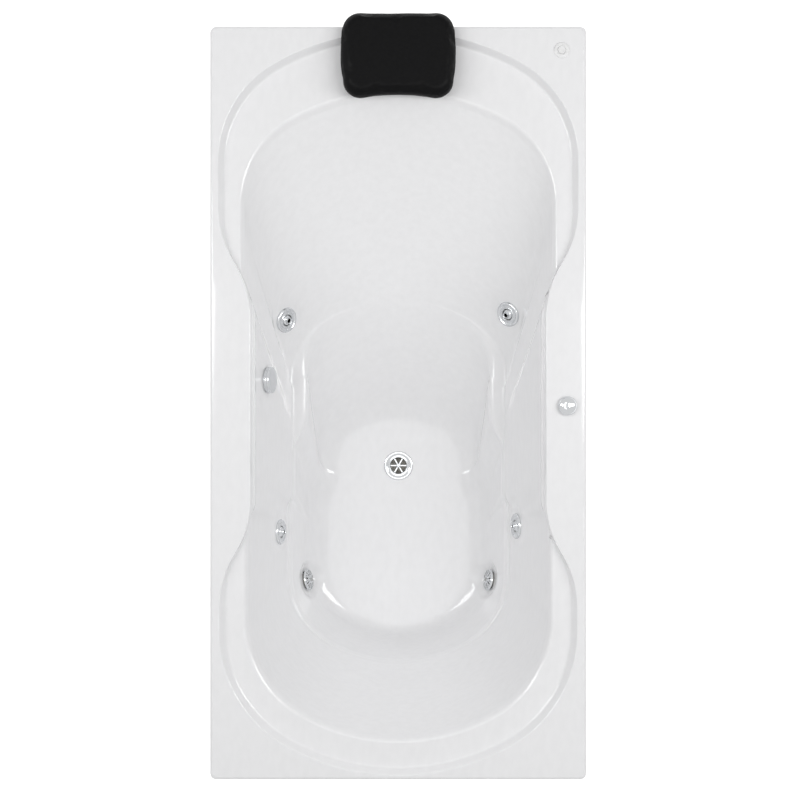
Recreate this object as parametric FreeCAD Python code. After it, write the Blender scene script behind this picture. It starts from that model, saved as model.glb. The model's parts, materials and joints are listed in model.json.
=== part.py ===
import FreeCAD, Part
import os
from math import cos, degrees, pi, radians, sin, sqrt, tan
from FreeCAD import Placement, Rotation, Vector

# A jetted bathtub for building into a deck: a one-piece acrylic shell on a plywood base, with four
# aimable water jets, two suction returns, a spoked floor strainer with a rotary overflow, an air
# knob and an air button on the rim, a circulation pump under the backrest and a soft head pillow.
#
# Millimetres. +Z is up, +Y points to the head end, +X to the bather's left hand seen from the foot
# end. The origin lies on the floor under the middle of the rim.

os.makedirs("parts", exist_ok=True)

# ---------------------------------------------------------------- driving dimensions

length = 1828.8            # rim, head to foot
width = 914.4              # rim, side to side
height = 533.4             # floor of the room to the top of the rim
well_depth = 441.4         # rim down to the bathing floor
rim_corner = 15.0          # plan radius of the rim's corners
rim_round = 8.0            # rounding of the rim's outer top edge
lip_height = 38.0          # how far the rim turns down
lip_wall = 9.0
skin = 7.0                 # acrylic and its glass-fibre backing together
deck_skin = 7.0

end_margin = 12.0          # flat rim left at the head and foot ends
side_margin = 20.0         # flat rim left beside the shoulders
armrest = 98.0             # width of the flat armrest at the waist
step_drop = 18.0           # from the rim down to the shoulder shelf
step_run = 13.0            # how far the step leans inwards
shoulder_shelf = 44.0      # width of the shelf beside the shoulders
head_shelf = 130.0         # width of the shelf under the pillow
foot_shelf = 66.0
wall_lean = 0.276          # inward run of the side walls for each unit of drop
ledge_height = 156.0       # side ledges above the bathing floor
seat_ledge = 37.0          # width of the ledges beside the hips
foot_ledge = 10.0          # and beside the feet
back_slope = 28.2          # backrest, degrees from level
back_foot_y = -22.0        # where the backrest meets the floor
foot_toe_y = -628.0        # where the foot slope leaves the floor
floor_half_width = 206.0   # bathing floor at the hips
toe_half_width = 229.0     # bathing floor at the feet
armrest_from = 205.0       # straight stretch of the armrests
armrest_to = -235.0
flare_from = -20.0         # the seat channel widens for the feet from here
head_roundness = 0.72      # depth of the round head end over its half width
foot_roundness = 0.80
end_turn = 29.0            # plan angle taken by the broad arc of a round end, degrees
side_turn = 32.0           # and by each arc that draws in the waist
least_straight = 15.0      # shortest straight stretch between two bends
inside_flat = 4.0          # the bathing face follows each arc in flats of about this angle
outside_flat = 10.0        # and the rough underside in broader ones

jet_drop = 232.0           # jets' centres below the rim
head_jet_y = 222.0
foot_jet_y = -326.0
jet_stagger = 16.0         # the pair on one side lies this much nearer the foot end
jet_radius = 33.0
suction_y = -478.0
suction_rise = 46.0        # suction covers' centres above the bathing floor
suction_radius = 30.0
overflow_drop = 100.0
overflow_y = 57.0
overflow_radius = 33.0
overflow_depth = 13.0      # thickness of the turning drum
drain_y = -172.0
drain_radius = 39.5
strainer_radius = 21.0
air_knob_inset = 47.2      # from the rim's side edge
air_knob_y = -7.0
air_knob_radius = 23.5
button_inset = 60.7        # from the rim's side edge
button_end_inset = 58.7    # from the rim's head end
button_housing_radius = 19.5
button_radius = 9.6
button_travel = 4.0

board_thick = 16.0
water_pipe_radius = 16.7   # one-inch pressure pipe
suction_pipe_radius = 24.15
air_pipe_radius = 8.0
waste_pipe_radius = 19.05
button_tube_radius = 3.0
plunger_lift = 24.0
riser_reach = 74.0         # the overflow's riser stands this far behind the wall

pillow_width = 272.0
pillow_length = 203.0
pillow_thick = 46.0
pillow_overhang = 24.0     # past the end of the rim

ball_radius = 16.6         # a jet's aimable ball
ball_centre = -6.0
spout_radius = 8.0
spout_bore = 5.2
spout_reach = 13.5
ring_lip = 2.4             # thickness of the wall fitting's flange under the jet ring
ring_high = 6.4
gasket_thick = 2.0
screw_radius = 2.5
slot_count = 10            # suction grille
slot_inner = 11.0
slot_width = 3.2
spoke_count = 6            # floor strainer
spoke_width = 3.0
hub_radius = 6.5
strainer_drop = -6.0
shoe_flange_radius = 36.0
waste_level = 41.0         # centre of the waste pipes above the floor
waste_barrel = 22.5
outlet_barrel = 40.0
tail_length = 110.0
spindle_radius = 4.0
post_radius = 6.0
knob_height = 18.0
button_proud = 2.0
pipe_socket = 16.0         # how far a pipe goes into its fitting
air_socket = 10.0

board_width = 380.0
board_head_y = 740.0
board_foot_y = -596.0
runner_thick = 38.0
runner_places = (-540.0, -340.0, 0.0, 300.0, 600.0)

pump_y = 600.0
axis_height = 100.0        # motor axis above its foot
pad_height = 6.0
motor_radius = 66.0
shaft_radius = 7.0
casing_radius = 74.0
flange_radius = 88.0
outlet_side = 46.0
outlet_top = 96.0
outlet_reach = 78.0        # along the motor's axis
outlet_radius = 26.0
tee_branch = 21.5
feed_side = 326.0          # the feeds turn the corner this far from the middle
air_cross_y = 700.0
air_cross_z = 375.0
bolt_circle = 81.0
bolt_radius = 3.6
bolt_count = 4
vane_count = 6
vent_count = 8
rib_count = 7
rib_from = 40.0            # degrees from level, over the top of the motor
rib_step = 18.0
cross_foot_y = -725.0
tube_level = 330.0

pillow_corner = 44.0
rest_gap = 0.4
cup_height = 4.5

turn_gap = 0.4             # between a turning piece and what it turns on
fit_gap = 0.15             # between glued or screwed pieces
hole_gap = 0.6             # between a fitting's neck and its hole in the shell
pad_proud = 1.5            # a fitting's moulded seat stands this far off the wall
pad_thick = 10.0           # shell thickness at a fitting's seat
seat_margin = 1.5          # the moulded seat is this much wider than its fitting
spot_front = 12.0          # the shell is faced off this far before a seat
spot_back = 14.0           # and this far behind it

# ---------------------------------------------------------------- levels worked out from them

rim_top = height
floor_top = height - well_depth
floor_under = floor_top - skin
board_top = floor_under
board_under = board_top - board_thick
ledge_top = floor_top + ledge_height
shelf_top = rim_top - step_drop

solids = {}


def keep(name, *pieces):
    """File one node, made of one solid or of several alike."""
    solids[name] = pieces[0] if len(pieces) == 1 else Part.makeCompound(list(pieces))
    solids[name].exportStep("parts/" + name + ".step")


# ---------------------------------------------------------------- shapes used again and again

def outline(start, *steps):
    """Closed face in the plane of radius (X) and height (Z), from corner to corner."""
    corners = [Vector(radius, 0, high) for radius, high in (start,) + steps + (start,)]
    return Part.Face(Part.makePolygon(corners))


def turned(start, *steps):
    """A piece turned on a lathe about the local Z axis."""
    return outline(start, *steps).revolve(Vector(0, 0, 0), Vector(0, 0, 1), 360)


def rod(radius, start, end):
    return Part.makeCylinder(radius, (end - start).Length, start, end - start)


def pipe(points, radius, bend):
    """A round pipe of straight runs joined by tangent bends. Its ends lie in sockets and nothing
    shows its bore, so it is left solid."""
    pieces = []
    here = points[0]
    for i in range(1, len(points) - 1):
        corner = points[i]
        before = (corner - points[i - 1]).normalize()
        after = (points[i + 1] - corner).normalize()
        turn = before.getAngle(after)
        start = corner - before * bend * tan(turn / 2)
        centre = corner + (after - before).normalize() * (bend / cos(turn / 2))
        end_face = Part.Face(Part.Wire([Part.Circle(start, before, radius).toShape()]))
        pieces.append(rod(radius, here, start))
        pieces.append(end_face.revolve(centre, before.cross(after), degrees(turn)))
        here = corner + after * bend * tan(turn / 2)
    pieces.append(rod(radius, here, points[-1]))
    return pieces[0].fuse(pieces[1:])


def seat(point, facing):
    """Local frame of a fitting: +Z out of the surface into the bath, +X level along it."""
    out = Vector(facing).normalize()
    level = Vector(0, 0, 1).cross(out)
    if level.Length < 1e-6:
        level = Vector(1, 0, 0)
    return Placement(point, Rotation(level, out.cross(level), out, "ZXY"))


def placed(shape, place):
    moved = shape.copy()
    moved.Placement = place.multiply(moved.Placement)
    return moved


def along(place, distance):
    """The point on a fitting's axis at this distance from its seat, out of the wall."""
    return place.multVec(Vector(0, 0, distance))


# ---------------------------------------------------------------- shell

class Ring:
    """One level outline of the bath: round ends, straight shoulders and hips, a drawn-in waist.
    Every arc turns through the same angle at all levels, so that the walls between two outlines
    are made of cones and flats."""

    def __init__(self, z, head, foot, shoulder, waist, hip, bend_to):
        self.z, self.head, self.foot = z, head, foot
        self.shoulder, self.waist, self.hip = shoulder, waist, hip
        self.bend_to = bend_to
        self.shoulder_at = head - head_roundness * shoulder
        self.hip_at = foot + foot_roundness * hip
        upper_bend = (shoulder - waist) / tan(radians(side_turn / 2))
        self.waist_from = min(armrest_from, self.shoulder_at - upper_bend - least_straight)
        self.waist_to = min(bend_to, self.waist_from - least_straight)

    def grown(self, out, down):
        """The same outline further out and lower, for the outside of the shell."""
        return Ring(self.z - down, self.head + out, self.foot - out, self.shoulder + out,
                    self.waist + out, self.hip + out, self.bend_to)

    def end_quarter(self, tip, half_width, side_at):
        """Two arcs, a broad and a tight one, from the middle of an end to the side."""
        turn = radians(end_turn)
        depth = abs(tip - side_at)
        way = -1 if side_at < tip else 1
        share = sin(turn) * cos(turn) - (1 - sin(turn)) * (1 - cos(turn))
        broad = (half_width * cos(turn) - depth * (1 - sin(turn))) / share
        tight = (depth * sin(turn) - half_width * (1 - cos(turn))) / share

        def on_broad(angle):
            return Vector(broad * sin(angle), tip + way * broad * (1 - cos(angle)), self.z)

        def on_tight(angle):
            return Vector(half_width - tight * (1 - sin(angle)),
                          side_at - way * tight * cos(angle), self.z)

        return [Part.Arc(on_broad(0), on_broad(turn / 2), on_broad(turn)),
                Part.Arc(on_broad(turn), on_tight((turn + pi / 2) / 2), on_tight(pi / 2))]

    def side_bend(self, wide, narrow_at, way):
        """Two arcs that draw the side in from its wide place to the waist."""
        turn = radians(side_turn)
        step = (wide - self.waist) / 2
        reach = step / tan(turn / 2)
        radius = reach / sin(turn)
        wide_end = Vector(wide, narrow_at + way * 2 * reach, self.z)
        middle = Vector(self.waist + step, narrow_at + way * reach, self.z)
        narrow_end = Vector(self.waist, narrow_at, self.z)
        swell = radius * (1 - cos(turn / 2))
        slide = radius * sin(turn / 2)
        upper = Vector(wide - swell, wide_end.y - way * slide, self.z)
        lower = Vector(self.waist + swell, narrow_at + way * slide, self.z)
        return [Part.Arc(wide_end, upper, middle), Part.Arc(middle, lower, narrow_end)]

    def edges(self):
        """The outline's right half, then its mirror image."""
        head = self.end_quarter(self.head, self.shoulder, self.shoulder_at)
        foot = self.end_quarter(self.foot, self.hip, self.hip_at)
        upper = self.side_bend(self.shoulder, self.waist_from, 1)
        lower = self.side_bend(self.hip, self.waist_to, -1)
        straight = [Part.LineSegment(head[1].EndPoint, upper[0].StartPoint),
                    Part.LineSegment(upper[1].EndPoint, lower[1].EndPoint),
                    Part.LineSegment(lower[0].StartPoint, foot[1].EndPoint)]
        half = [curve.toShape() for curve in head + foot + upper + lower + straight]
        other = [edge.mirror(Vector(0, 0, 0), Vector(1, 0, 0)) for edge in half]
        return Part.__sortEdges__(half + other)

    def corners(self, flat_angle):
        """The outline's corners, for short straight runs that lie parallel from level to level."""
        points = []
        for edge in self.edges():
            angle = 0
            if edge.Curve.TypeId == "Part::GeomCircle":
                angle = degrees(edge.LastParameter - edge.FirstParameter)
            count = max(1, round(angle / flat_angle))
            ends = edge.discretize(Number=count + 1)
            if edge.Orientation == "Reversed":
                ends.reverse()
            points += ends[:-1]
        return points


def backrest_y(z):
    """Where the backrest's middle line lies at a height."""
    return back_foot_y + (z - floor_top) / tan(radians(back_slope))


def foot_slope_y(z):
    """The foot slope's middle line: steep at the toes, easing towards the rim."""
    rise = (z - floor_top) / (shelf_top - floor_top)
    top = -length / 2 + end_margin + step_run + foot_shelf
    return foot_toe_y + (top - foot_toe_y) * rise ** 1.35


def inside_rings():
    """Outlines of the bathing well from the rim down to the floor."""
    end = length / 2 - end_margin
    shoulder = width / 2 - side_margin
    waist = width / 2 - armrest
    shelf_edge = shoulder - step_run - shoulder_shelf
    shelf_head = end - step_run - head_shelf
    shelf_foot = -end + step_run + foot_shelf
    edge_z = shelf_top - 12
    ledge_outer = ledge_top + 10
    ledge_waist = waist - wall_lean * (rim_top - ledge_top)
    ledge_hip = shelf_edge - 12 - wall_lean * (shelf_top - ledge_top)
    channel = ledge_waist - seat_ledge
    channel_hip = ledge_hip - foot_ledge
    low = floor_top + 20

    def wall_ring(z):
        share = (z - ledge_outer) / (edge_z - ledge_outer)
        lean = wall_lean * (z - ledge_outer)
        shoulder_here = ledge_waist + 6 + (shelf_edge - 4 - ledge_waist - 6) * share
        hip_here = ledge_hip + (shelf_edge - 14 - ledge_hip) * share
        return Ring(z, backrest_y(z), foot_slope_y(z), shoulder_here, ledge_waist + lean,
                    hip_here, armrest_to)

    def channel_ring(z, inwards):
        return Ring(z, backrest_y(z) - 2, foot_slope_y(z) + 2, channel - inwards + 3,
                    channel - inwards, channel_hip - inwards, flare_from)

    return [
        Ring(rim_top, end, -end, shoulder, waist, shoulder - 3, armrest_to),
        Ring(shelf_top, end - step_run, -end + step_run, shoulder - step_run, waist - 5,
             shoulder - step_run - 3, armrest_to),
        Ring(shelf_top, shelf_head, shelf_foot, shelf_edge + 4, waist - 10, shelf_edge - 6,
             armrest_to),
        wall_ring(edge_z),
        wall_ring(ledge_outer),
        wall_ring(ledge_top),
        channel_ring(ledge_top, 0),
        channel_ring(ledge_top - 12, 7),
        Ring(low, backrest_y(low), foot_slope_y(low), floor_half_width + 11, floor_half_width + 8,
             toe_half_width + 13, flare_from),
        Ring(floor_top, back_foot_y - 14, foot_toe_y + 12, floor_half_width - 9,
             floor_half_width - 12, toe_half_width - 14, flare_from),
    ]


def outside_rings(inside):
    """Outlines of the shell's underside: the inner ones moved out by the skin."""
    lean_out = skin * 1.04
    corner_out = skin * 0.75
    under_rim, step, shelf, edge, wall, ledge, channel, bend, low, floor = inside
    return [under_rim.grown(skin - 1, deck_skin - 1), step.grown(corner_out, skin),
            shelf.grown(corner_out, skin), edge.grown(lean_out, 4), ledge.grown(lean_out, skin),
            channel.grown(lean_out, skin), low.grown(lean_out, 4), floor.grown(corner_out, skin)]


def flat_face(corners):
    return Part.Face(Part.makePolygon(corners + corners[:1]))


def stack(outlines):
    """Closed solid through outlines on falling levels, walled by flats."""
    faces = [flat_face(outlines[0]), flat_face(outlines[-1])]
    for upper, lower in zip(outlines, outlines[1:]):
        for i in range(len(upper)):
            faces.append(flat_face([upper[i - 1], upper[i], lower[i], lower[i - 1]]))
    walls = Part.makeCompound(faces)
    walls.sewShape()
    solid = Part.makeSolid(walls.Shells[0])
    return solid if solid.Volume > 0 else solid.reversed()


def bowl(outlines):
    """The bowl as stacked solids. Where two outlines share a level there is a flat shelf, and the
    next stack starts from the inner one."""
    stretches = [[outlines[0]]]
    for upper, lower in zip(outlines, outlines[1:]):
        if abs(upper[0].z - lower[0].z) < 1e-6:
            stretches.append([lower])
        else:
            stretches[-1].append(lower)
    stacks = [stack(stretch) for stretch in stretches]
    return stacks[0].fuse(stacks[1:])


def rounded_slab(long_side, short_side, corner, low, high):
    half_x, half_y = short_side / 2, long_side / 2
    slab = Part.makeBox(short_side, long_side, high - low, Vector(-half_x, -half_y, low))
    upright = [e for e in slab.Edges if abs(e.BoundBox.ZLength - (high - low)) < 1e-6]
    return slab.makeFillet(corner, upright)


def rim_slab():
    """Flat rim with a turned-down lip, open underneath."""
    slab = rounded_slab(length, width, rim_corner, rim_top - lip_height, rim_top)
    top_edges = [e for e in slab.Edges if e.BoundBox.ZMin > rim_top - 1e-6]
    slab = slab.makeFillet(rim_round, top_edges)
    inner_corner = max(rim_corner - lip_wall, 2.0)
    hollow = rounded_slab(length - 2 * lip_wall, width - 2 * lip_wall, inner_corner,
                          rim_top - lip_height - 1, rim_top - deck_skin)
    return slab.cut(hollow)


well_rings = inside_rings()
well = bowl([ring.corners(inside_flat) for ring in well_rings])
outer_well = bowl([ring.corners(outside_flat) for ring in outside_rings(well_rings)])


def wall_seat(side, y, z):
    """Seat on the side wall at this place; side is -1 for the left, +1 for the right."""
    probe = Part.makeLine(Vector(0, y, z), Vector(side * width, y, z))
    hit = max(well.common(probe).Vertexes, key=lambda v: side * v.X).Point
    face = min(well.Faces, key=lambda f: f.distToShape(Part.Vertex(hit))[0])
    u, v = face.Surface.parameter(hit)
    out = face.normalAt(u, v)
    if out.x * side > 0:
        out = out * -1
    return seat(hit + out * pad_proud, out)


jet_seats = {}
for side, hand in ((-1, "left"), (1, "right")):
    shift = jet_stagger / 2 * side
    jet_z = rim_top - jet_drop
    jet_seats["head_" + hand] = wall_seat(side, head_jet_y + shift, jet_z)
    jet_seats["foot_" + hand] = wall_seat(side, foot_jet_y + shift, jet_z)
suction_seats = {
    "left": wall_seat(-1, suction_y, floor_top + suction_rise),
    "right": wall_seat(1, suction_y, floor_top + suction_rise),
}
overflow_seat = wall_seat(-1, overflow_y, rim_top - overflow_drop)
drain_seat = seat(Vector(0, drain_y, floor_top), Vector(0, 0, 1))
knob_seat = seat(Vector(width / 2 - air_knob_inset, air_knob_y, rim_top), Vector(0, 0, 1))
button_seat = seat(Vector(width / 2 - button_inset, length / 2 - button_end_inset, rim_top),
                   Vector(0, 0, 1))

jet_hole = 22.0
suction_hole = 19.0
overflow_hole = 22.0
drain_hole = 23.5
knob_hole = 16.0
button_hole = 14.5


def tub_shell():
    """Rim and bowl in one skin, with moulded seats and holes for the fittings."""
    pads = []
    holes = []
    for place in jet_seats.values():
        pads.append((place, jet_radius + seat_margin))
        holes.append((place, jet_hole))
    for place in suction_seats.values():
        pads.append((place, suction_radius + seat_margin))
        holes.append((place, suction_hole))
    pads.append((overflow_seat, overflow_radius + seat_margin))
    holes.append((overflow_seat, overflow_hole))
    shell = rim_slab().fuse(outer_well).cut(well)
    for place, radius in pads:
        pad = Part.makeCylinder(radius, pad_thick, Vector(0, 0, -pad_thick))
        front = Part.makeCylinder(radius, spot_front)
        back = Part.makeCylinder(radius, spot_back, Vector(0, 0, -pad_thick - spot_back))
        shell = shell.fuse(placed(pad, place)).cut(placed(front.fuse(back), place))
    holes += [(drain_seat, drain_hole), (knob_seat, knob_hole), (button_seat, button_hole)]
    for place, radius in holes:
        hole = Part.makeCylinder(radius, 40, Vector(0, 0, -20))
        shell = shell.cut(placed(hole, place))
    return shell


keep("tub_shell", tub_shell())


# ---------------------------------------------------------------- base

def base_board():
    """Plywood board laminated under the floor; it also carries the pump."""
    board = Part.makeBox(board_width, board_head_y - board_foot_y, board_thick,
                         Vector(-board_width / 2, board_foot_y, board_under))
    upright = [e for e in board.Edges if abs(e.BoundBox.ZLength - board_thick) < 1e-6]
    board = board.makeFillet(30, upright)
    opening = Part.makeCylinder(shoe_flange_radius + 6, 3 * board_thick,
                                Vector(0, drain_y, board_under - board_thick))
    return board.cut(opening)


def base_runners():
    """Timber runners that stand on the floor."""
    runners = []
    for y in runner_places:
        runners.append(Part.makeBox(board_width, runner_thick, board_under,
                                    Vector(-board_width / 2, y - runner_thick / 2, 0)))
    return runners


keep("base_board", base_board())
keep("base_runners", *base_runners())

# ---------------------------------------------------------------- jets

behind = -pad_thick        # back of the shell in a fitting's own frame
pump_axis = Vector(0, pump_y, board_top + pad_height + axis_height)
pump_seat = Placement(pump_axis, Rotation(Vector(0, 1, 0), Vector(0, 0, 1), Vector(1, 0, 0), "ZXY"))


def jet_wall_fitting():
    """Flanged sleeve through the wall; its lower seat carries the ball."""
    neck = jet_hole - hole_gap
    bore = ball_radius + turn_gap
    return turned((bore, ring_lip), (neck + 5.5, ring_lip), (neck + 5.5, 0), (neck, 0),
                  (neck, behind - 24), (11.2, behind - 24), (11.2, ball_centre - 14),
                  (bore, ball_centre - 6))


def jet_ring():
    """Chrome face ring, dished towards the ball and screwed over the wall fitting's flange."""
    inner = jet_hole - hole_gap + 5.5 + fit_gap
    mouth = ball_radius - 1.6
    return turned((inner, 0), (jet_radius, 0), (jet_radius, 2.2), (jet_radius - 4.5, ring_high),
                  (mouth, 4.2), (mouth, ring_lip + fit_gap), (inner, ring_lip + fit_gap))


def jet_nozzle():
    """Ball with a short spout, bored through; the ball is turned in three bands."""
    back = ball_centre - 12.5
    back_radius = sqrt(ball_radius ** 2 - (back - ball_centre) ** 2)
    band = 4
    belt_radius = sqrt(ball_radius ** 2 - band ** 2)
    neck = ball_centre + sqrt(ball_radius ** 2 - spout_radius ** 2)
    return turned((spout_bore, back), (back_radius, back), (belt_radius, ball_centre - band),
                  (belt_radius, ball_centre + band), (spout_radius, neck),
                  (spout_radius, spout_reach), (spout_bore, spout_reach))


def jet_gasket():
    return turned((jet_hole + 0.6, behind - gasket_thick), (jet_radius - 1, behind - gasket_thick),
                  (jet_radius - 1, behind), (jet_hole + 0.6, behind))


def water_centre(place):
    return along(place, behind - 48)


def air_centre(place):
    return place.multVec(Vector(0, 34, behind - 25))


def jet_body(place, lines, away):
    """Moulded body behind the wall: a flanged cup crossed by a water barrel and an air barrel.
    A foot jet's barrels open only towards the head jet; a head jet's also open away from it."""
    top = behind - gasket_thick
    bore = jet_hole - hole_gap + fit_gap
    body = placed(turned((0, top), (jet_radius - 1, top), (jet_radius - 1, top - 5), (27, top - 5),
                         (27, top - 56), (0, top - 56)), place)
    for centre, line, out, radius, half, socket, depth in (
            (water_centre(place), lines[0], away and away[0], 21, 36, water_pipe_radius, pipe_socket),
            (air_centre(place), lines[1], away and away[1], 11.5, 20, air_pipe_radius, air_socket)):
        ends = [out, line * -1] if away else [line]
        body = body.fuse(rod(radius, centre + line * (0 if away else -half), centre + ends[0] * half))
        if away:
            body = body.fuse(rod(radius, centre, centre + ends[1] * half))
        for end in ends:
            body = body.cut(rod(socket + fit_gap, centre + end * (half - depth),
                                centre + end * (half + 1)))
    neck_bore = Part.makeCylinder(bore, 26, Vector(0, 0, top - 25))
    throat = Part.makeCylinder(12, 20, Vector(0, 0, top - 44))
    return body.cut(placed(neck_bore.fuse(throat), place))


outlet_up = pump_seat.multVec(Vector(outlet_side, outlet_top, outlet_reach))
tee_mid = outlet_up + Vector(0, 0, 24)
water_lines, air_lines = {}, {}
water_corners, air_corners = {}, {}
for side, hand in ((-1, "left"), (1, "right")):
    head, foot = jet_seats["head_" + hand], jet_seats["foot_" + hand]
    water_lines[hand] = (water_centre(head) - water_centre(foot)).normalize()
    air_lines[hand] = (air_centre(head) - air_centre(foot)).normalize()
    water_corners[hand] = Vector(side * feed_side, tee_mid.y, tee_mid.z)
    air_corners[hand] = Vector(side * feed_side, air_cross_y, air_cross_z)


def away_from(place, hand):
    """Directions in which a head jet's water and air barrels lead on."""
    return ((water_corners[hand] - water_centre(place)).normalize(),
            (air_corners[hand] - air_centre(place)).normalize())


jet_bodies = []
for name, place in jet_seats.items():
    end, hand = name.split("_")
    away = away_from(place, hand) if end == "head" else None
    jet_bodies.append(jet_body(place, (water_lines[hand], air_lines[hand]), away))
    keep("jet_nozzle_" + name, placed(jet_nozzle(), place))
keep("jet_bodies", *jet_bodies)
keep("jet_rings", *[placed(jet_ring(), place) for place in jet_seats.values()])
keep("jet_wall_fittings", *[placed(jet_wall_fitting(), place) for place in jet_seats.values()])
keep("jet_gaskets", *[placed(jet_gasket(), place) for place in jet_seats.values()])

# ---------------------------------------------------------------- suction returns


def suction_cover():
    """Domed grille: a ring of slots round a solid middle, held by one screw."""
    outer = suction_radius
    dome = turned((0, 9), (slot_inner, 8.4), (outer - 5, 5.4), (outer, 1.5), (outer, 0),
                  (outer - 3, 0), (slot_inner - 3, 5.4), (slot_inner - 3, -6), (0, -6))
    dome = dome.cut(Part.makeCylinder(screw_radius + 0.2, 40, Vector(0, 0, -20)))
    for k in range(slot_count):
        slot = Part.makeBox(outer - 4 - slot_inner, slot_width, 20,
                            Vector(slot_inner, -slot_width / 2, 0.5))
        slot.rotate(Vector(0, 0, 0), Vector(0, 0, 1), 360 * k / slot_count)
        dome = dome.cut(slot)
    return dome


def suction_body(place, through):
    """Flanged cup behind the wall with a barrel for the suction pipe."""
    top = behind - gasket_thick
    neck = suction_hole - hole_gap
    cup = turned((neck - 4, 0), (neck, 0), (neck, top), (suction_radius, top),
                 (suction_radius, top - 5), (25, top - 7), (25, top - 30), (0, top - 30),
                 (0, top - 22), (neck - 4, top - 22))
    spider = Part.makeBox(2 * neck - 4, 6, 6, Vector(-neck + 2, -3, -16))
    boss = Part.makeCylinder(6, 9, Vector(0, 0, -16))
    screw_hole = Part.makeCylinder(screw_radius + 0.1, 8, Vector(0, 0, -15))
    body = placed(cup.fuse([spider, boss]).cut(screw_hole), place)
    centre = suction_centre(place)
    foot = Vector(0, -1, 0)
    head_reach = 34 if through else 22
    body = body.fuse(rod(29, centre - foot * head_reach, centre + foot * 34))
    socket = suction_pipe_radius + fit_gap
    body = body.cut(rod(socket, centre + foot * (34 - pipe_socket), centre + foot * 35))
    if through:
        body = body.cut(rod(socket, centre - foot * (34 - pipe_socket), centre - foot * 35))
    return body


def suction_centre(place):
    return along(place, behind - 38)


def suction_gasket():
    return turned((suction_hole + 0.6, behind - gasket_thick),
                  (suction_radius, behind - gasket_thick), (suction_radius, behind),
                  (suction_hole + 0.6, behind))


def suction_screw():
    return turned((0, 10.6), (4.2, 10.6), (4.2, 9), (screw_radius, 9), (screw_radius, -13), (0, -13))


keep("suction_covers", *[placed(suction_cover(), place) for place in suction_seats.values()])
keep("suction_bodies", *[suction_body(place, hand == "right") for hand, place in suction_seats.items()])
keep("suction_gaskets", *[placed(suction_gasket(), place) for place in suction_seats.values()])
keep("suction_screws", *[placed(suction_screw(), place) for place in suction_seats.values()])

# ---------------------------------------------------------------- drain and overflow


def drain_strainer():
    """Chromed flange that dips to a spoked strainer, on a threaded tail."""
    lip = drain_radius
    tail = drain_hole - hole_gap
    body = turned((tail, 0), (lip, 0), (lip, 2), (lip - 7, 2), (strainer_radius, 0.8),
                  (strainer_radius, -32), (tail, -32))
    web = Part.makeCylinder(hub_radius, 5, Vector(0, 0, strainer_drop - 3.5))
    for k in range(spoke_count):
        spoke = Part.makeBox(strainer_radius + 0.8, spoke_width, 3,
                             Vector(0, -spoke_width / 2, strainer_drop - 3))
        spoke.rotate(Vector(0, 0, 0), Vector(0, 0, 1), 360 * k / spoke_count)
        web = web.fuse(spoke)
    return body.fuse(web)


def drain_gasket():
    top = -skin
    return turned((drain_hole + 1, top - 3), (shoe_flange_radius, top - 3),
                  (shoe_flange_radius, top), (drain_hole + 1, top))


def drain_shoe():
    """Cup under the drain with its outlet towards the waste tee."""
    top = floor_under - 3
    bore = drain_hole - hole_gap + fit_gap
    wall = bore + 4.5
    low = waste_level - 22
    cup = turned((bore, top), (shoe_flange_radius, top), (shoe_flange_radius, top - 4),
                 (wall, top - 6), (wall, low), (0, low), (0, low + 4), (bore, low + 4))
    cup.translate(Vector(0, drain_y, 0))
    centre = Vector(0, drain_y, waste_level)
    outlet = rod(waste_barrel, centre + shoe_line * (bore + 2), centre + shoe_line * 62)
    socket = rod(waste_pipe_radius + fit_gap, centre + shoe_line * (62 - pipe_socket),
                 centre + shoe_line * 63)
    passage = rod(waste_pipe_radius - 2.5, centre, centre + shoe_line * 60)
    return cup.fuse(outlet).cut(socket.fuse(passage))


def tube(outer, wall, start, end):
    return rod(outer, start, end).cut(rod(outer - wall, start, end))


def slip_nut(start, line):
    """Nut over a barrel's mouth; its lip closes on the pipe."""
    body = rod(waste_barrel + 4, start - line * 12, start + line * 5)
    for radius, low, high in ((waste_barrel + 0.2, -13, 0.2), (waste_pipe_radius + 0.2, 0, 6)):
        body = body.cut(rod(radius, start + line * low, start + line * high))
    return body


def waste_tee():
    """Fitting under the overflow: riser above, shoe pipe at one side, outlet towards the head."""
    up = Vector(0, 0, 1)
    tee = rod(waste_barrel, tee_centre - up * 24, tee_centre + up * 36)
    tee = tee.fuse([rod(waste_barrel, tee_centre, tee_centre - shoe_line * 44),
                    rod(waste_barrel, tee_centre, tee_centre + outlet_line * outlet_barrel)])
    bore = waste_pipe_radius - 2.5
    tee = tee.cut(rod(bore, tee_centre, tee_centre + up * 37))
    tee = tee.cut(rod(bore, tee_centre, tee_centre - shoe_line * 45))
    tee = tee.cut(rod(bore, tee_centre, tee_centre + outlet_line * (outlet_barrel + 1)))
    socket = waste_pipe_radius + fit_gap
    tee = tee.cut(rod(socket, tee_centre + up * (36 - pipe_socket), tee_centre + up * 37))
    return tee.cut(rod(socket, tee_centre - shoe_line * (44 - pipe_socket),
                       tee_centre - shoe_line * 45))


def tailpiece():
    """Outlet pipe for the building's waste, with a spigot glued into the tee."""
    mouth = tee_centre + outlet_line * outlet_barrel
    spigot = waste_pipe_radius - 2.5 - fit_gap
    pipe_end = rod(waste_pipe_radius, mouth, mouth + outlet_line * tail_length)
    inner_end = rod(spigot, mouth - outlet_line * pipe_socket, mouth)
    bore = rod(spigot - 2, mouth - outlet_line * pipe_socket, mouth + outlet_line * tail_length)
    return pipe_end.fuse(inner_end).cut(bore)


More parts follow.
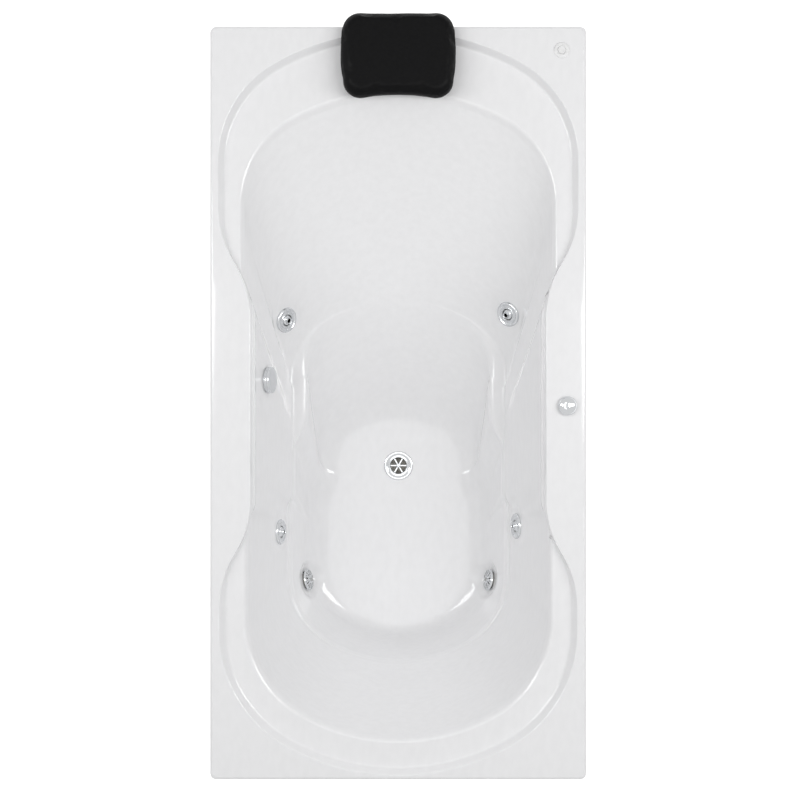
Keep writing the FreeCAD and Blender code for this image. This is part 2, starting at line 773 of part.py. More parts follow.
def overflow_elbow():
    """Body behind the wall: a neck from the overflow opening into the top of the riser."""
    up = Vector(0, 0, 1)
    top = behind - gasket_thick
    neck_bore = 16
    back = overflow_centre
    flange = placed(turned((neck_bore, top - 5), (overflow_radius - 1, top - 5),
                           (overflow_radius - 1, top), (neck_bore, top)), overflow_seat)
    neck = rod(neck_bore + 4, along(overflow_seat, top - 3), back)
    barrel = rod(waste_barrel + 2, back - up * 44, back + up * 26)
    hollow = rod(waste_pipe_radius - 2.5, back - up * 45, back + up * 22)
    passage = rod(neck_bore, along(overflow_seat, top + 1), back)
    socket = rod(waste_pipe_radius + fit_gap, back - up * 45, back - up * (44 - pipe_socket))
    return flange.fuse([neck, barrel]).cut(hollow.fuse([passage, socket]))


def overflow_gasket():
    top = behind
    return turned((17, top - gasket_thick), (overflow_radius - 1, top - gasket_thick),
                  (overflow_radius - 1, top), (17, top))


def overflow_plate():
    """Fixed ring against the wall with the spindle's bearing on three arms."""
    ring = turned((17, 0), (overflow_radius - 3, 0), (overflow_radius - 3, 3), (17, 3))
    hub = turned((spindle_radius + turn_gap, 0), (9, 0), (9, 3), (spindle_radius + turn_gap, 3))
    arms = []
    for k in range(3):
        arm = Part.makeBox(11, 5, 3, Vector(7.5, -2.5, 0))
        arm.rotate(Vector(0, 0, 0), Vector(0, 0, 1), 90 + 120 * k)
        arms.append(arm)
    return ring.fuse([hub] + arms)


def overflow_knob():
    """Turning drum, open towards the wall, on a spindle that ends in the lifting crank."""
    low = 3 + turn_gap
    high = low + overflow_depth
    outer = overflow_radius
    crank = overflow_crank
    return turned((0, high), (outer, high), (outer, low), (outer - 2.5, low),
                  (outer - 2.5, high - 3), (spindle_radius, high - 3), (spindle_radius, crank + 3),
                  (11, crank + 3), (11, crank), (0, crank))


def plunger():
    """Brass plug that hangs in the riser on its lifting rod."""
    low = tee_centre.z + 36
    body = turned((0, low), (15.5, low), (15.5, low + 32), (1.6, low + 32),
                  (1.6, overflow_centre.z - 8), (0, overflow_centre.z - 8))
    body.translate(Vector(tee_centre.x, tee_centre.y, 0))
    return body


overflow_centre = along(overflow_seat, behind - riser_reach)
overflow_crank = behind - riser_reach + 5
tee_centre = Vector(overflow_centre.x, overflow_centre.y, waste_level)
shoe_line = (tee_centre - Vector(0, drain_y, waste_level)).normalize()
outlet_line = Vector(0, 1, 0)
shoe_mouth = Vector(0, drain_y, waste_level) + shoe_line * 62
tee_mouth = tee_centre - shoe_line * 44
riser_low = tee_centre + Vector(0, 0, 36 - pipe_socket)
riser_high = overflow_centre - Vector(0, 0, 44 - pipe_socket)

keep("drain_strainer", placed(drain_strainer(), drain_seat))
keep("drain_shoe", drain_shoe())
keep("waste_pipe", tube(waste_pipe_radius, 1.5, shoe_mouth - shoe_line * pipe_socket,
                        tee_mouth + shoe_line * pipe_socket))
keep("waste_tee", waste_tee())
keep("overflow_riser", tube(waste_pipe_radius, 1.5, riser_low, riser_high))
keep("overflow_elbow", overflow_elbow())
keep("waste_gaskets", placed(drain_gasket(), drain_seat), placed(overflow_gasket(), overflow_seat))
keep("overflow_plate", placed(overflow_plate(), overflow_seat))
keep("overflow_knob", placed(overflow_knob(), overflow_seat))
keep("plunger", plunger())
keep("tailpiece", tailpiece())
keep("slip_nuts", slip_nut(shoe_mouth, shoe_line), slip_nut(tee_mouth, shoe_line * -1))

# ---------------------------------------------------------------- controls on the rim


def deck_nut(neck, outer):
    """Ring nut under the rim."""
    return turned((neck + fit_gap, -deck_skin - 8), (outer, -deck_skin - 8), (outer, -deck_skin),
                  (neck + fit_gap, -deck_skin))


def air_control_sleeve():
    """Flanged sleeve through the rim, drawing air down to the jets."""
    neck = knob_hole - hole_gap
    return turned((post_radius + turn_gap, 3), (air_knob_radius - 2, 3), (air_knob_radius - 2, 0),
                  (neck, 0), (neck, -28), (11.5, -28), (11.5, -48),
                  (air_pipe_radius + fit_gap, -48), (air_pipe_radius + fit_gap, -48 + air_socket),
                  (post_radius + turn_gap, -48 + air_socket))


def air_control_knob():
    """Domed knob with a post down its middle."""
    low = 3 + turn_gap
    outer = air_knob_radius
    return turned((0, knob_height), (outer * 0.66, knob_height), (outer, knob_height - 7),
                  (outer, low), (post_radius, low), (post_radius, -16), (0, -16))


def air_button_sleeve():
    """Flanged cup through the rim; the bellows stands in its bottom."""
    neck = button_hole - hole_gap
    bore = button_radius + turn_gap
    return turned((bore, 3.4), (button_housing_radius - 2, 3.4), (button_housing_radius, 1.4),
                  (button_housing_radius, 0), (neck, 0), (neck, -28), (5.5, -28), (5.5, -42),
                  (button_tube_radius + fit_gap, -42), (button_tube_radius + fit_gap, -32), (1.2, -32),
                  (1.2, -25), (bore, -25))


def air_button():
    top = button_proud + 3.4
    return turned((0, top), (button_radius - 1.2, top), (button_radius, top - 1.2),
                  (button_radius, -8), (0, -8))


def air_bellows():
    """Rubber bellows that the button squeezes."""
    low, high = -24.8, -8.4 - button_travel
    return turned((1.4, low), (8.4, low), (8.4, low + 4), (6.6, low + 4), (6.6, high - 4),
                  (8.4, high - 4), (8.4, high), (1.4, high))


keep("deck_sleeves", placed(air_control_sleeve(), knob_seat), placed(air_button_sleeve(), button_seat))
keep("air_control_knob", placed(air_control_knob(), knob_seat))
keep("air_button", placed(air_button(), button_seat))
keep("air_bellows", placed(air_bellows(), button_seat))
keep("deck_nuts", placed(deck_nut(knob_hole - hole_gap, 22), knob_seat),
     placed(deck_nut(button_hole - hole_gap, 20), button_seat))

# ---------------------------------------------------------------- pump

def disc(inner, outer, low, high):
    return turned((inner, low), (outer, low), (outer, high), (inner, high))


def bolt_spots(level):
    spots = []
    for k in range(bolt_count):
        angle = 2 * pi * k / bolt_count
        spots.append(Vector(bolt_circle * cos(angle), bolt_circle * sin(angle), level))
    return spots


def bolt_holes(shape, low, high):
    for spot in bolt_spots(low):
        shape = shape.cut(Part.makeCylinder(bolt_radius + 0.4, high - low, spot))
    return shape


def pump_volute():
    """Wet end: round casing with the suction spout in front and a rising outlet at its side."""
    casing = turned((0, 52), (flange_radius, 52), (flange_radius, 60), (casing_radius, 60),
                    (casing_radius, 98), (34, 98), (34, 124), (0, 124))
    outlet = rod(outlet_radius, Vector(outlet_side, 0, outlet_reach),
                 Vector(outlet_side, outlet_top, outlet_reach))
    hollow = turned((0, 51), (casing_radius - 6, 51), (casing_radius - 6, 92), (22, 92), (22, 125),
                    (0, 125))
    outlet_bore = rod(17, Vector(outlet_side, 0, outlet_reach),
                      Vector(outlet_side, outlet_top + 1, outlet_reach))
    spout_socket = disc(0, suction_pipe_radius + fit_gap, 124 - pipe_socket, 125)
    outlet_socket = rod(tee_branch + fit_gap, Vector(outlet_side, outlet_top - 14, outlet_reach),
                        Vector(outlet_side, outlet_top + 1, outlet_reach))
    casing = casing.fuse(outlet).cut(hollow.fuse([outlet_bore, spout_socket, outlet_socket]))
    return bolt_holes(casing, 50, 61)


def pump_bracket():
    """Cast bracket between motor and wet end, with the shaft seal in its middle."""
    bore = shaft_radius + turn_gap
    bracket = turned((bore, 22), (motor_radius - 4.8, 22), (motor_radius - 4.8, 30), (motor_radius, 30),
                     (motor_radius, 40), (flange_radius, 40), (flange_radius, 52), (bore, 52))
    return bolt_holes(bracket, 36, 53)


def pump_rotor():
    """Shaft with the motor's core, the impeller and the cooling fan."""
    rotor = turned((0, -152), (shaft_radius, -152), (shaft_radius, -90), (36, -90), (36, 0),
                   (shaft_radius, 0), (shaft_radius, 64), (60, 64), (60, 68), (24, 68), (24, 84),
                   (0, 84))
    rotor = rotor.fuse(disc(0, 46, -150, -146))
    blades = []
    for k in range(vane_count):
        blade = Part.makeBox(30, 2.5, 10, Vector(14, -1.25, -147))
        blade.rotate(Vector(0, 0, 0), Vector(0, 0, 1), 360 * k / vane_count)
        blades.append(blade)
    return rotor.fuse(blades)


def fan_cover():
    """Cup over the fan with a ring of air slots."""
    cover = turned((0, -166), (motor_radius, -166), (motor_radius, -120), (motor_radius - 3, -120),
                   (motor_radius - 3, -163), (0, -163))
    for k in range(vent_count):
        vent = Part.makeBox(26, 7, 8, Vector(22, -3.5, -168))
        vent.rotate(Vector(0, 0, 0), Vector(0, 0, 1), 360 * k / vent_count)
        cover = cover.cut(vent)
    return cover


def motor_shell():
    """Steel tube with cooling ribs along its sides."""
    shell = disc(motor_radius - 4.5, motor_radius, -119.8, 30)
    for k in range(rib_count):
        rib = Part.makeBox(9, 3, 130, Vector(motor_radius - 2, -1.5, -110))
        rib.rotate(Vector(0, 0, 0), Vector(0, 0, 1), rib_from + rib_step * k)
        shell = shell.fuse(rib)
    return shell


def motor_saddle():
    """Foot plate with two cradles under the motor."""
    low = -axis_height
    plate = Part.makeBox(150, 8, 130, Vector(-75, low, -105))
    cradles = []
    for h in (-95, -5):
        cradles.append(Part.makeBox(110, axis_height - 50, 12, Vector(-55, low + 6, h)))
    saddle = plate.fuse(cradles)
    return saddle.cut(disc(0, motor_radius + fit_gap, -130, 40))


def switch_box():
    """Box on the motor's side with the air switch; a gland for the supply points down."""
    box = Part.makeBox(46, 64, 80, Vector(motor_radius - 8, -32, -90))
    edges = [e for e in box.Edges if e.BoundBox.XMin > motor_radius + 30]
    box = box.makeFillet(4, edges)
    box = box.cut(disc(0, motor_radius + fit_gap, -130, 40))
    barb = rod(5.5, Vector(motor_radius + 18, 30, -60), Vector(motor_radius + 18, 44, -60))
    gland = rod(9, Vector(motor_radius + 18, -30, -30), Vector(motor_radius + 18, -44, -30))
    tube_socket = rod(button_tube_radius + fit_gap, Vector(motor_radius + 18, 34, -60),
                      Vector(motor_radius + 18, 45, -60))
    return box.fuse([barb, gland]).cut(tube_socket)


def pump_bolt(spot):
    bolt = turned((0, 0), (bolt_radius, 0), (bolt_radius, 24), (6.5, 24), (6.5, 29), (0, 29))
    bolt.translate(spot)
    return bolt


def suction_union():
    """Eight-sided nut over the suction spout."""
    corners = []
    for k in range(9):
        angle = pi / 4 * (k + 0.5)
        corners.append(Vector(46 * cos(angle), 46 * sin(angle), 110))
    nut = Part.Face(Part.makePolygon(corners)).extrude(Vector(0, 0, 24))
    nut = nut.cut(disc(0, 34 + fit_gap, 109, 124 + fit_gap))
    return nut.cut(disc(0, suction_pipe_radius + fit_gap, 123, 135))


def in_pump(shape):
    return placed(shape, pump_seat)


keep("pump_volute", in_pump(pump_volute()))
keep("pump_rotor", in_pump(pump_rotor()))
keep("pump_bracket", in_pump(pump_bracket()))
keep("rear_plate", in_pump(disc(shaft_radius + turn_gap, motor_radius - 3.2, -128, -120)))
keep("motor_shell", in_pump(motor_shell()))
keep("motor_stator", in_pump(disc(37, motor_radius - 4.8, -95, 5)))
keep("fan_cover", in_pump(fan_cover()))
keep("motor_saddle", in_pump(motor_saddle()))
keep("switch_box", in_pump(switch_box()))
keep("pump_bolts", *[in_pump(pump_bolt(spot)) for spot in bolt_spots(36)])
keep("suction_union", in_pump(suction_union()))
pads = []
for across in (-60, 60):
    for h in (-93, 13):
        pad = rod(13, Vector(across, -axis_height - pad_height, h), Vector(across, -axis_height, h))
        pads.append(in_pump(pad))
keep("pump_pads", *pads)

# ---------------------------------------------------------------- water, suction and air lines


def line_end(centre, line, half, depth):
    """Where a pipe stops inside a barrel's socket."""
    return centre + line * (half - depth)


def discharge_tee():
    """Tee on the pump's outlet that feeds both sides."""
    along_x = Vector(1, 0, 0)
    down = Vector(0, 0, -1)
    tee = rod(21, tee_mid - along_x * 38, tee_mid + along_x * 38)
    tee = tee.fuse(rod(tee_branch, tee_mid, outlet_up + down * 13.5))
    for side in (-1, 1):
        tee = tee.cut(rod(water_pipe_radius + fit_gap, tee_mid + along_x * side * (38 - pipe_socket),
                          tee_mid + along_x * side * 39))
    return tee


def water_feed(side, hand):
    """Pressure pipe from the tee round to the head jet of one side."""
    start = tee_mid + Vector(side * (38 - pipe_socket), 0, 0)
    centre = water_centre(jet_seats["head_" + hand])
    away = (water_corners[hand] - centre).normalize()
    return pipe([start, water_corners[hand], line_end(centre, away, 36, pipe_socket)],
                water_pipe_radius, 60)


def air_tee():
    """Tee on the right air line, branching up to the air control."""
    tee = rod(12, air_tee_centre - air_lines["right"] * 18, air_tee_centre + air_lines["right"] * 18)
    tee = tee.fuse(rod(11, air_tee_centre, air_tee_centre + branch_line * 26))
    through = rod(air_pipe_radius + fit_gap, air_tee_centre - air_lines["right"] * 19,
                  air_tee_centre + air_lines["right"] * 19)
    socket = rod(air_pipe_radius + fit_gap, air_tee_centre + branch_line * (26 - air_socket),
                 air_tee_centre + branch_line * 27)
    return tee.cut(through.fuse(socket))


foot_air = air_centre(jet_seats["foot_right"])
air_line = air_lines["right"]
air_tee_centre = foot_air + air_line * ((air_knob_y - foot_air.y) / air_line.y)
knob_spout = knob_seat.multVec(Vector(0, 0, -48))
drop_corner = knob_spout - Vector(0, 0, 40)
branch_line = (drop_corner - air_tee_centre).normalize()

water_pipes = []
air_pipes = []
for hand in ("left", "right"):
    head, foot = jet_seats["head_" + hand], jet_seats["foot_" + hand]
    line = water_lines[hand]
    water_pipes.append(rod(water_pipe_radius, line_end(water_centre(foot), line, 36, pipe_socket),
                           line_end(water_centre(head), line * -1, 36, pipe_socket)))
    line = air_lines[hand]
    air_pipes.append(rod(air_pipe_radius, line_end(air_centre(foot), line, 20, air_socket),
                         line_end(air_centre(head), line * -1, 20, air_socket)))

cross_ends = {}
for hand in ("left", "right"):
    centre = air_centre(jet_seats["head_" + hand])
    cross_ends[hand] = line_end(centre, (air_corners[hand] - centre).normalize(), 20, air_socket)
air_pipes.append(pipe([cross_ends["left"], air_corners["left"], air_corners["right"],
                       cross_ends["right"]], air_pipe_radius, 50))

keep("discharge_tee", discharge_tee())
keep("water_feeds", water_feed(-1, "left"), water_feed(1, "right"))
keep("water_pipes", *water_pipes)
keep("air_pipes", *air_pipes)
keep("air_tee", air_tee())
keep("air_drop", pipe([air_tee_centre + branch_line * (26 - air_socket), drop_corner,
                       knob_spout + Vector(0, 0, air_socket)], air_pipe_radius, 30))

left_suction = suction_centre(suction_seats["left"])
right_suction = suction_centre(suction_seats["right"])
foot = Vector(0, -1, 0)
keep("suction_cross_pipe", pipe(
    [left_suction + foot * (34 - pipe_socket), Vector(left_suction.x, cross_foot_y, left_suction.z),
     Vector(right_suction.x, cross_foot_y, right_suction.z),
     right_suction + foot * (34 - pipe_socket)], suction_pipe_radius, 60))
inlet = pump_seat.multVec(Vector(0, 0, 124 - pipe_socket))
keep("suction_pipe", pipe(
    [right_suction - foot * (34 - pipe_socket),
     Vector(right_suction.x, pump_y - 130, right_suction.z),
     Vector(right_suction.x, pump_y, pump_axis.z), inlet], suction_pipe_radius, 55))
button_end = button_seat.multVec(Vector(0, 0, -42))
switch_end = pump_seat.multVec(Vector(motor_radius + 18, 44, -60))
keep("button_tube", pipe(
    [button_end + Vector(0, 0, 10), Vector(button_end.x, button_end.y, tube_level),
     Vector(switch_end.x, switch_end.y, tube_level), switch_end - Vector(0, 0, 10)],
    button_tube_radius, 40))

# ---------------------------------------------------------------- pillow


def pillow_outline(z, inset):
    """Rounded outline with slightly full sides and a drawn-in lower edge."""
    half = pillow_width / 2 - inset
    top = length / 2 + pillow_overhang - inset
    low = length / 2 + pillow_overhang - pillow_length + inset
    corner = pillow_corner - inset * 0.5
    mid = (top + low) / 2
    full = 4.0
    quarter = corner * (1 - sqrt(0.5))

    def at(x, y):
        return Vector(x, y, z)

    arcs = [
        (at(-half + corner, top), at(0, top + full * 0.6), at(half - corner, top)),
        (at(half - corner, top), at(half - quarter, top - quarter), at(half, top - corner)),
        (at(half, top - corner), at(half + full, mid), at(half, low + corner)),
        (at(half, low + corner), at(half - quarter, low + quarter), at(half - corner, low)),
        (at(half - corner, low), at(0, low + full), at(-half + corner, low)),
        (at(-half + corner, low), at(-half + quarter, low + quarter), at(-half, low + corner)),
        (at(-half, low + corner), at(-half - full, mid), at(-half, top - corner)),
        (at(-half, top - corner), at(-half + quarter, top - quarter), at(-half + corner, top)),
    ]
    return Part.Wire([Part.Arc(*points).toShape() for points in arcs])


def pillow():
    """Moulded foam pillow: crowned above, with a pad below that sinks into the shelf."""
    base = rim_top + rest_gap
    levels = ((0, 9), (0.16, 2), (0.4, 0), (0.7, 4), (0.9, 13), (1.0, 30))
    crown = Part.makeLoft([pillow_outline(base + pillow_thick * rise, inset)
                           for rise, inset in levels], True, True)
    depth = length / 2 - end_margin - step_run - 10
    low = length / 2 + pillow_overhang - pillow_length + 16
    pad = Part.makeBox(pillow_width - 50, depth - low, base + 4 - (shelf_top + cup_height),
                       Vector(-pillow_width / 2 + 25, low, shelf_top + cup_height))
    return crown.fuse(pad)


def pillow_cup(x):
    """Suction cup under the pillow."""
    centre_y = length / 2 - end_margin - step_run - head_shelf / 2
    cup = turned((0, cup_height), (7, cup_height), (7, 2), (22, 2), (22, rest_gap), (0, rest_gap))
    cup.translate(Vector(x, centre_y, shelf_top))
    return cup


keep("pillow", pillow())
keep("pillow_cups", pillow_cup(-70), pillow_cup(70))
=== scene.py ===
import bpy
import bmesh
import json
import numpy as np
from math import cos, pi, radians, sin, tan
from mathutils import Matrix, Vector
from mathutils.bvhtree import BVHTree


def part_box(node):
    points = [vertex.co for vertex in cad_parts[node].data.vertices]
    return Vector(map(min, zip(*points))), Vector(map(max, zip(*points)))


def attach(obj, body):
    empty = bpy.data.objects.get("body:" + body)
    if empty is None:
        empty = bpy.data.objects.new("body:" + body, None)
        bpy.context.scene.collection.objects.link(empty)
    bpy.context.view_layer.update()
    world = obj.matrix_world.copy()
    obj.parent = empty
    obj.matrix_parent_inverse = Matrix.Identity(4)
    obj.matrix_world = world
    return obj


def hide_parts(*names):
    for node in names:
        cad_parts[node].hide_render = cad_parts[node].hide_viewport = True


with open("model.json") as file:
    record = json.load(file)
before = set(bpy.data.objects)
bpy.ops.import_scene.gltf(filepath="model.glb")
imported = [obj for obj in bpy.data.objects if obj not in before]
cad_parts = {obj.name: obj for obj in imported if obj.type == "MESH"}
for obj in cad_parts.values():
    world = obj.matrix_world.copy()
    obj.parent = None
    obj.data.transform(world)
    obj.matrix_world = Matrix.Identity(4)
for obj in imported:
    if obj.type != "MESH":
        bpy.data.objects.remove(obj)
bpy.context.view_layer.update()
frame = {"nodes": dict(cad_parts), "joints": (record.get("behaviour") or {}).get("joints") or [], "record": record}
nodes = frame["nodes"]
mm = 0.001


# ---------------------------------------------------------------- studio
# The tub is seen from straight above, head end up, by a long lens 3.5 m over the rim. The room is
# a plain white studio: an even sky, a softbox over each side and a white floor.

rim_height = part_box("tub_shell")[1].z
camera_rise = 3.5                 # metres from the rim to the lens
photo_side = 800 * 2.4255 * mm    # width of the view at rim level, 2.4255 mm for each pixel
camera = bpy.data.objects.new("camera", bpy.data.cameras.new("camera"))
camera.data.lens = camera.data.sensor_width * camera_rise / photo_side
camera.data.clip_end = 40
camera.location = (4.2 * mm, 7.3 * mm, rim_height + camera_rise)    # over the photo's middle
bpy.context.scene.collection.objects.link(camera)
bpy.context.scene.camera = camera
bpy.context.scene.view_settings.view_transform = "Standard"


def linear(colour):
    """Linear RGBA of an sRGB hex colour."""
    parts = [int(colour[i:i + 2], 16) / 255 for i in (1, 3, 5)]
    return [c / 12.92 if c < 0.04045 else ((c + 0.055) / 1.055) ** 2.4 for c in parts] + [1.0]


def add(tree, kind, sockets=None, **settings):
    """Add a node with its settings; a socket's value is a number, a colour or another socket."""
    node = tree.nodes.new(kind)
    for name, value in settings.items():
        setattr(node, name, value)
    for name, value in (sockets or {}).items():
        if isinstance(value, bpy.types.NodeSocket):
            tree.links.new(value, node.inputs[name])
        else:
            node.inputs[name].default_value = value
    return node


def finish_of(name, colour, roughness, **sockets):
    """A material with its tree and main shader; further shader sockets are given by name."""
    material = bpy.data.materials.new(name)
    material.use_nodes = True
    tree = material.node_tree
    shader = tree.nodes["Principled BSDF"]
    shader.inputs["Base Color"].default_value = linear(colour)
    shader.inputs["Roughness"].default_value = roughness
    for socket, value in sockets.items():
        shader.inputs[socket.replace("_", " ")].default_value = value
    return material, tree, shader


def ramp(tree, factor, *stops):
    """Colour ramp; each stop is a place from 0 to 1 and a hex colour or a grey value."""
    node = add(tree, "ShaderNodeValToRGB", {"Fac": factor})
    while len(node.color_ramp.elements) < len(stops):
        node.color_ramp.elements.new(0.5)
    for element, (place, value) in zip(node.color_ramp.elements, stops):
        element.position = place
        element.color = linear(value) if isinstance(value, str) else [value] * 3 + [1.0]
    return node.outputs["Color"]


def tint(tree, shader, factor, *stops):
    """Let the base colour follow a pattern between hex colours."""
    tree.links.new(ramp(tree, factor, *stops), shader.inputs["Base Color"])


def relief(tree, shader, height, strength, depth):
    """Raise a pattern from the surface, by its depth in millimetres."""
    bump = add(tree, "ShaderNodeBump", {"Height": height, "Strength": strength, "Distance": depth * mm})
    tree.links.new(bump.outputs["Normal"], shader.inputs["Normal"])


def softbox(name, place, aim, size_x, size_y, watts):
    """An area light of the given size in metres, turned to face a point."""
    lamp = bpy.data.lights.new(name, "AREA")
    lamp.shape = "RECTANGLE"
    lamp.size, lamp.size_y, lamp.energy = size_x, size_y, watts
    obj = bpy.data.objects.new(name, lamp)
    obj.location = place
    obj.rotation_euler = (Vector(aim) - Vector(place)).to_track_quat("-Z", "Y").to_euler()
    bpy.context.scene.collection.objects.link(obj)


# One weak softbox hangs over the tub for its highlights, and two strong ones light its walls.
softbox("softbox_over", (-0.02, 0.1, 4.3), (-0.02, 0, 0), 0.9, 2.6, 7.5)
softbox("softbox_left", (-2.2, 0.5, 3.4), (0, 0, 0.4), 0.7, 3.0, 36)
softbox("softbox_right", (2.2, 0.3, 3.4), (0, 0, 0.4), 0.7, 3.0, 44)

# The sky is even, and brighter where it is mirrored than where it lights.
world = bpy.data.worlds.new("studio")
bpy.context.scene.world = world
world.use_nodes = True
tree = world.node_tree
sky = tree.nodes["Background"]
sky.inputs["Color"].default_value = linear("#ffffff")
rays = add(tree, "ShaderNodeLightPath")
strength = add(tree, "ShaderNodeMapRange", {"Value": rays.outputs["Is Glossy Ray"], "To Min": 0.45,
                                            "To Max": 0.84})
tree.links.new(strength.outputs["Result"], sky.inputs["Strength"])

# White paper that glows for the camera and in mirrors only, so it stays white without lighting.
floor_mesh = bpy.data.meshes.new("studio_floor")
floor_mesh.from_pydata([(-9, -9, 0), (9, -9, 0), (9, 9, 0), (-9, 9, 0)], [], [(0, 1, 2, 3)])
studio_floor = bpy.data.objects.new("studio_floor", floor_mesh)
bpy.context.scene.collection.objects.link(studio_floor)
paper, tree, shader = finish_of("white_paper", "#e8e8e8", 0.9)
rays = add(tree, "ShaderNodeLightPath")
seen = add(tree, "ShaderNodeMath", {0: rays.outputs["Is Camera Ray"], 1: rays.outputs["Is Glossy Ray"]},
           operation="MAXIMUM")
seen = add(tree, "ShaderNodeMath", {0: seen.outputs[0], 1: rays.outputs["Is Transmission Ray"]},
           operation="MAXIMUM")
shader.inputs["Emission Color"].default_value = linear("#ffffff")
glow = add(tree, "ShaderNodeMath", {0: seen.outputs[0], 1: 0.75}, operation="MULTIPLY")
tree.links.new(glow.outputs[0], shader.inputs["Emission Strength"])
floor_mesh.materials.append(paper)


# ---------------------------------------------------------------- acrylic shell
# One sheet of white acrylic, drawn warm over a mould and then stiffened behind with chopped glass
# and resin. The face is glossy and even; every edge is rounded by the mould.

# Sizes in millimetres, with +Y to the head end.
length, width = 1828.8, 914.4
rim_top, shelf_top, ledge_top, floor_top = 533.4, 515.4, 248.0, 92.0    # heights
skin = 7.0                                          # sheet and backing together
lip_height, rim_corner, rim_round = 38.0, 15.0, 8.0
end_margin, side_margin, armrest = 12.0, 20.0, 98.0                     # flat rim round the bath
step_run, shoulder_shelf, head_shelf, foot_shelf = 13.0, 44.0, 130.0, 66.0
wall_lean, seat_ledge, foot_ledge = 0.276, 37.0, 10.0                   # lean: run for each unit of drop
back_slope, back_foot_y, foot_toe_y = radians(28.2), -22.0, -628.0
floor_half_width, toe_half_width = 206.0, 229.0
armrest_from, armrest_to, flare_from = 205.0, -235.0, -20.0             # where the sides bend
end_turn, side_turn = radians(29), radians(32)                          # how far the arcs turn
head_depth, foot_depth = 0.72, 0.80       # depth of a rounded end, for each unit of its half width
side_points = 118                         # points down each side of an outline
soft_below, soft_passes = 190, 26         # height where the soft curves start, and their strength
flat_margin, flat_blend = 2, 20           # the wall is flat this far past a flange, then eases back


def arc_run(count, start, stop, at):
    """Points at even angles along an arc, without its last."""
    return [at(a) for a in np.linspace(start, stop, count, endpoint=False)]


def end_quarter(tip, half_width, side_at):
    """A broad and a tight arc from the middle of an end round to the side."""
    depth, way = abs(tip - side_at), (-1 if side_at < tip else 1)
    s, c = sin(end_turn), cos(end_turn)
    share = s * c - (1 - s) * (1 - c)
    broad = (half_width * c - depth * (1 - s)) / share
    tight = (depth * s - half_width * (1 - c)) / share
    run = arc_run(26, 0, end_turn, lambda a: (broad * sin(a), tip + way * broad * (1 - cos(a))))
    return run + arc_run(44, end_turn, pi / 2, lambda a: (half_width - tight * (1 - sin(a)),
                                                          side_at - way * tight * cos(a)))


def side_bend(wide, waist, narrow_at, way):
    """Two arcs that draw the side in, from its wide place to the waist."""
    reach = (wide - waist) / 2 / tan(side_turn / 2)
    bend = reach / sin(side_turn)
    wide_y = narrow_at + way * 2 * reach
    run = arc_run(14, 0, side_turn, lambda a: (wide - bend * (1 - cos(a)), wide_y - way * bend * sin(a)))
    return run + arc_run(14, side_turn, 0, lambda a: (waist + bend * (1 - cos(a)),
                                                      narrow_at + way * bend * sin(a)))


def ring(z, head, foot, shoulder, waist, hip, bend_to):
    """Level outline of the bath: the right half from head to foot, then the left half back. Along
    the side its points are evenly spaced, so that they lie below each other from level to level."""
    shoulder_at, hip_at = head - head_depth * shoulder, foot + foot_depth * hip
    upper_reach = (shoulder - waist) / tan(side_turn / 2)
    waist_from = min(armrest_from, shoulder_at - upper_reach - 15)
    waist_to = min(bend_to, waist_from - 15)
    upper = [(shoulder, shoulder_at)] + side_bend(shoulder, waist, waist_from, 1)
    lower = [(waist, waist_from), (waist, waist_to)] + side_bend(hip, waist, waist_to, -1)[::-1]
    side = np.array(upper + lower + [(hip, hip_at)])
    side_y = np.linspace(shoulder_at, hip_at, side_points)
    side_x = np.interp(-side_y, -side[:, 1], side[:, 0])
    half = end_quarter(head, shoulder, shoulder_at) + list(zip(side_x, side_y))
    right = np.array(half + end_quarter(foot, hip, hip_at)[:0:-1])
    left = right[1:][::-1] * (-1, 1)
    around = np.vstack([right, [(0, foot)], left])
    return np.column_stack([around, np.full(len(around), z)])


def backrest_y(z):
    """Where the backrest stands at a height."""
    return back_foot_y + (z - floor_top) / tan(back_slope)


def foot_slope_y(z):
    """Where the foot slope stands at a height; it steepens upwards."""
    top = -length / 2 + end_margin + step_run + foot_shelf
    return foot_toe_y + (top - foot_toe_y) * ((z - floor_top) / (shelf_top - floor_top)) ** 1.35


# Half lengths and half widths of the outlines, from the rim's opening inwards.
end, shoulder, waist = length / 2 - end_margin, width / 2 - side_margin, width / 2 - armrest
shelf_edge = shoulder - step_run - shoulder_shelf
edge_z, ledge_outer, low = shelf_top - 12, ledge_top + 10, floor_top + 20
ledge_waist = waist - wall_lean * (rim_top - ledge_top)
ledge_hip = shelf_edge - 12 - wall_lean * (shelf_top - ledge_top)
channel, channel_hip = ledge_waist - seat_ledge, ledge_hip - foot_ledge


def wall_ring(z):
    """Outline of the upper wall, from the shelf down to the seat ledge."""
    share = (z - ledge_outer) / (edge_z - ledge_outer)
    return ring(z, backrest_y(z), foot_slope_y(z),
                ledge_waist + 6 + (shelf_edge - 4 - ledge_waist - 6) * share,
                ledge_waist + wall_lean * (z - ledge_outer),
                ledge_hip + (shelf_edge - 14 - ledge_hip) * share, armrest_to)


def channel_ring(z, inwards):
    """Outline of the inner well below the seat ledge."""
    return ring(z, backrest_y(z), foot_slope_y(z), channel - inwards + 3, channel - inwards,
                channel_hip - inwards, flare_from)


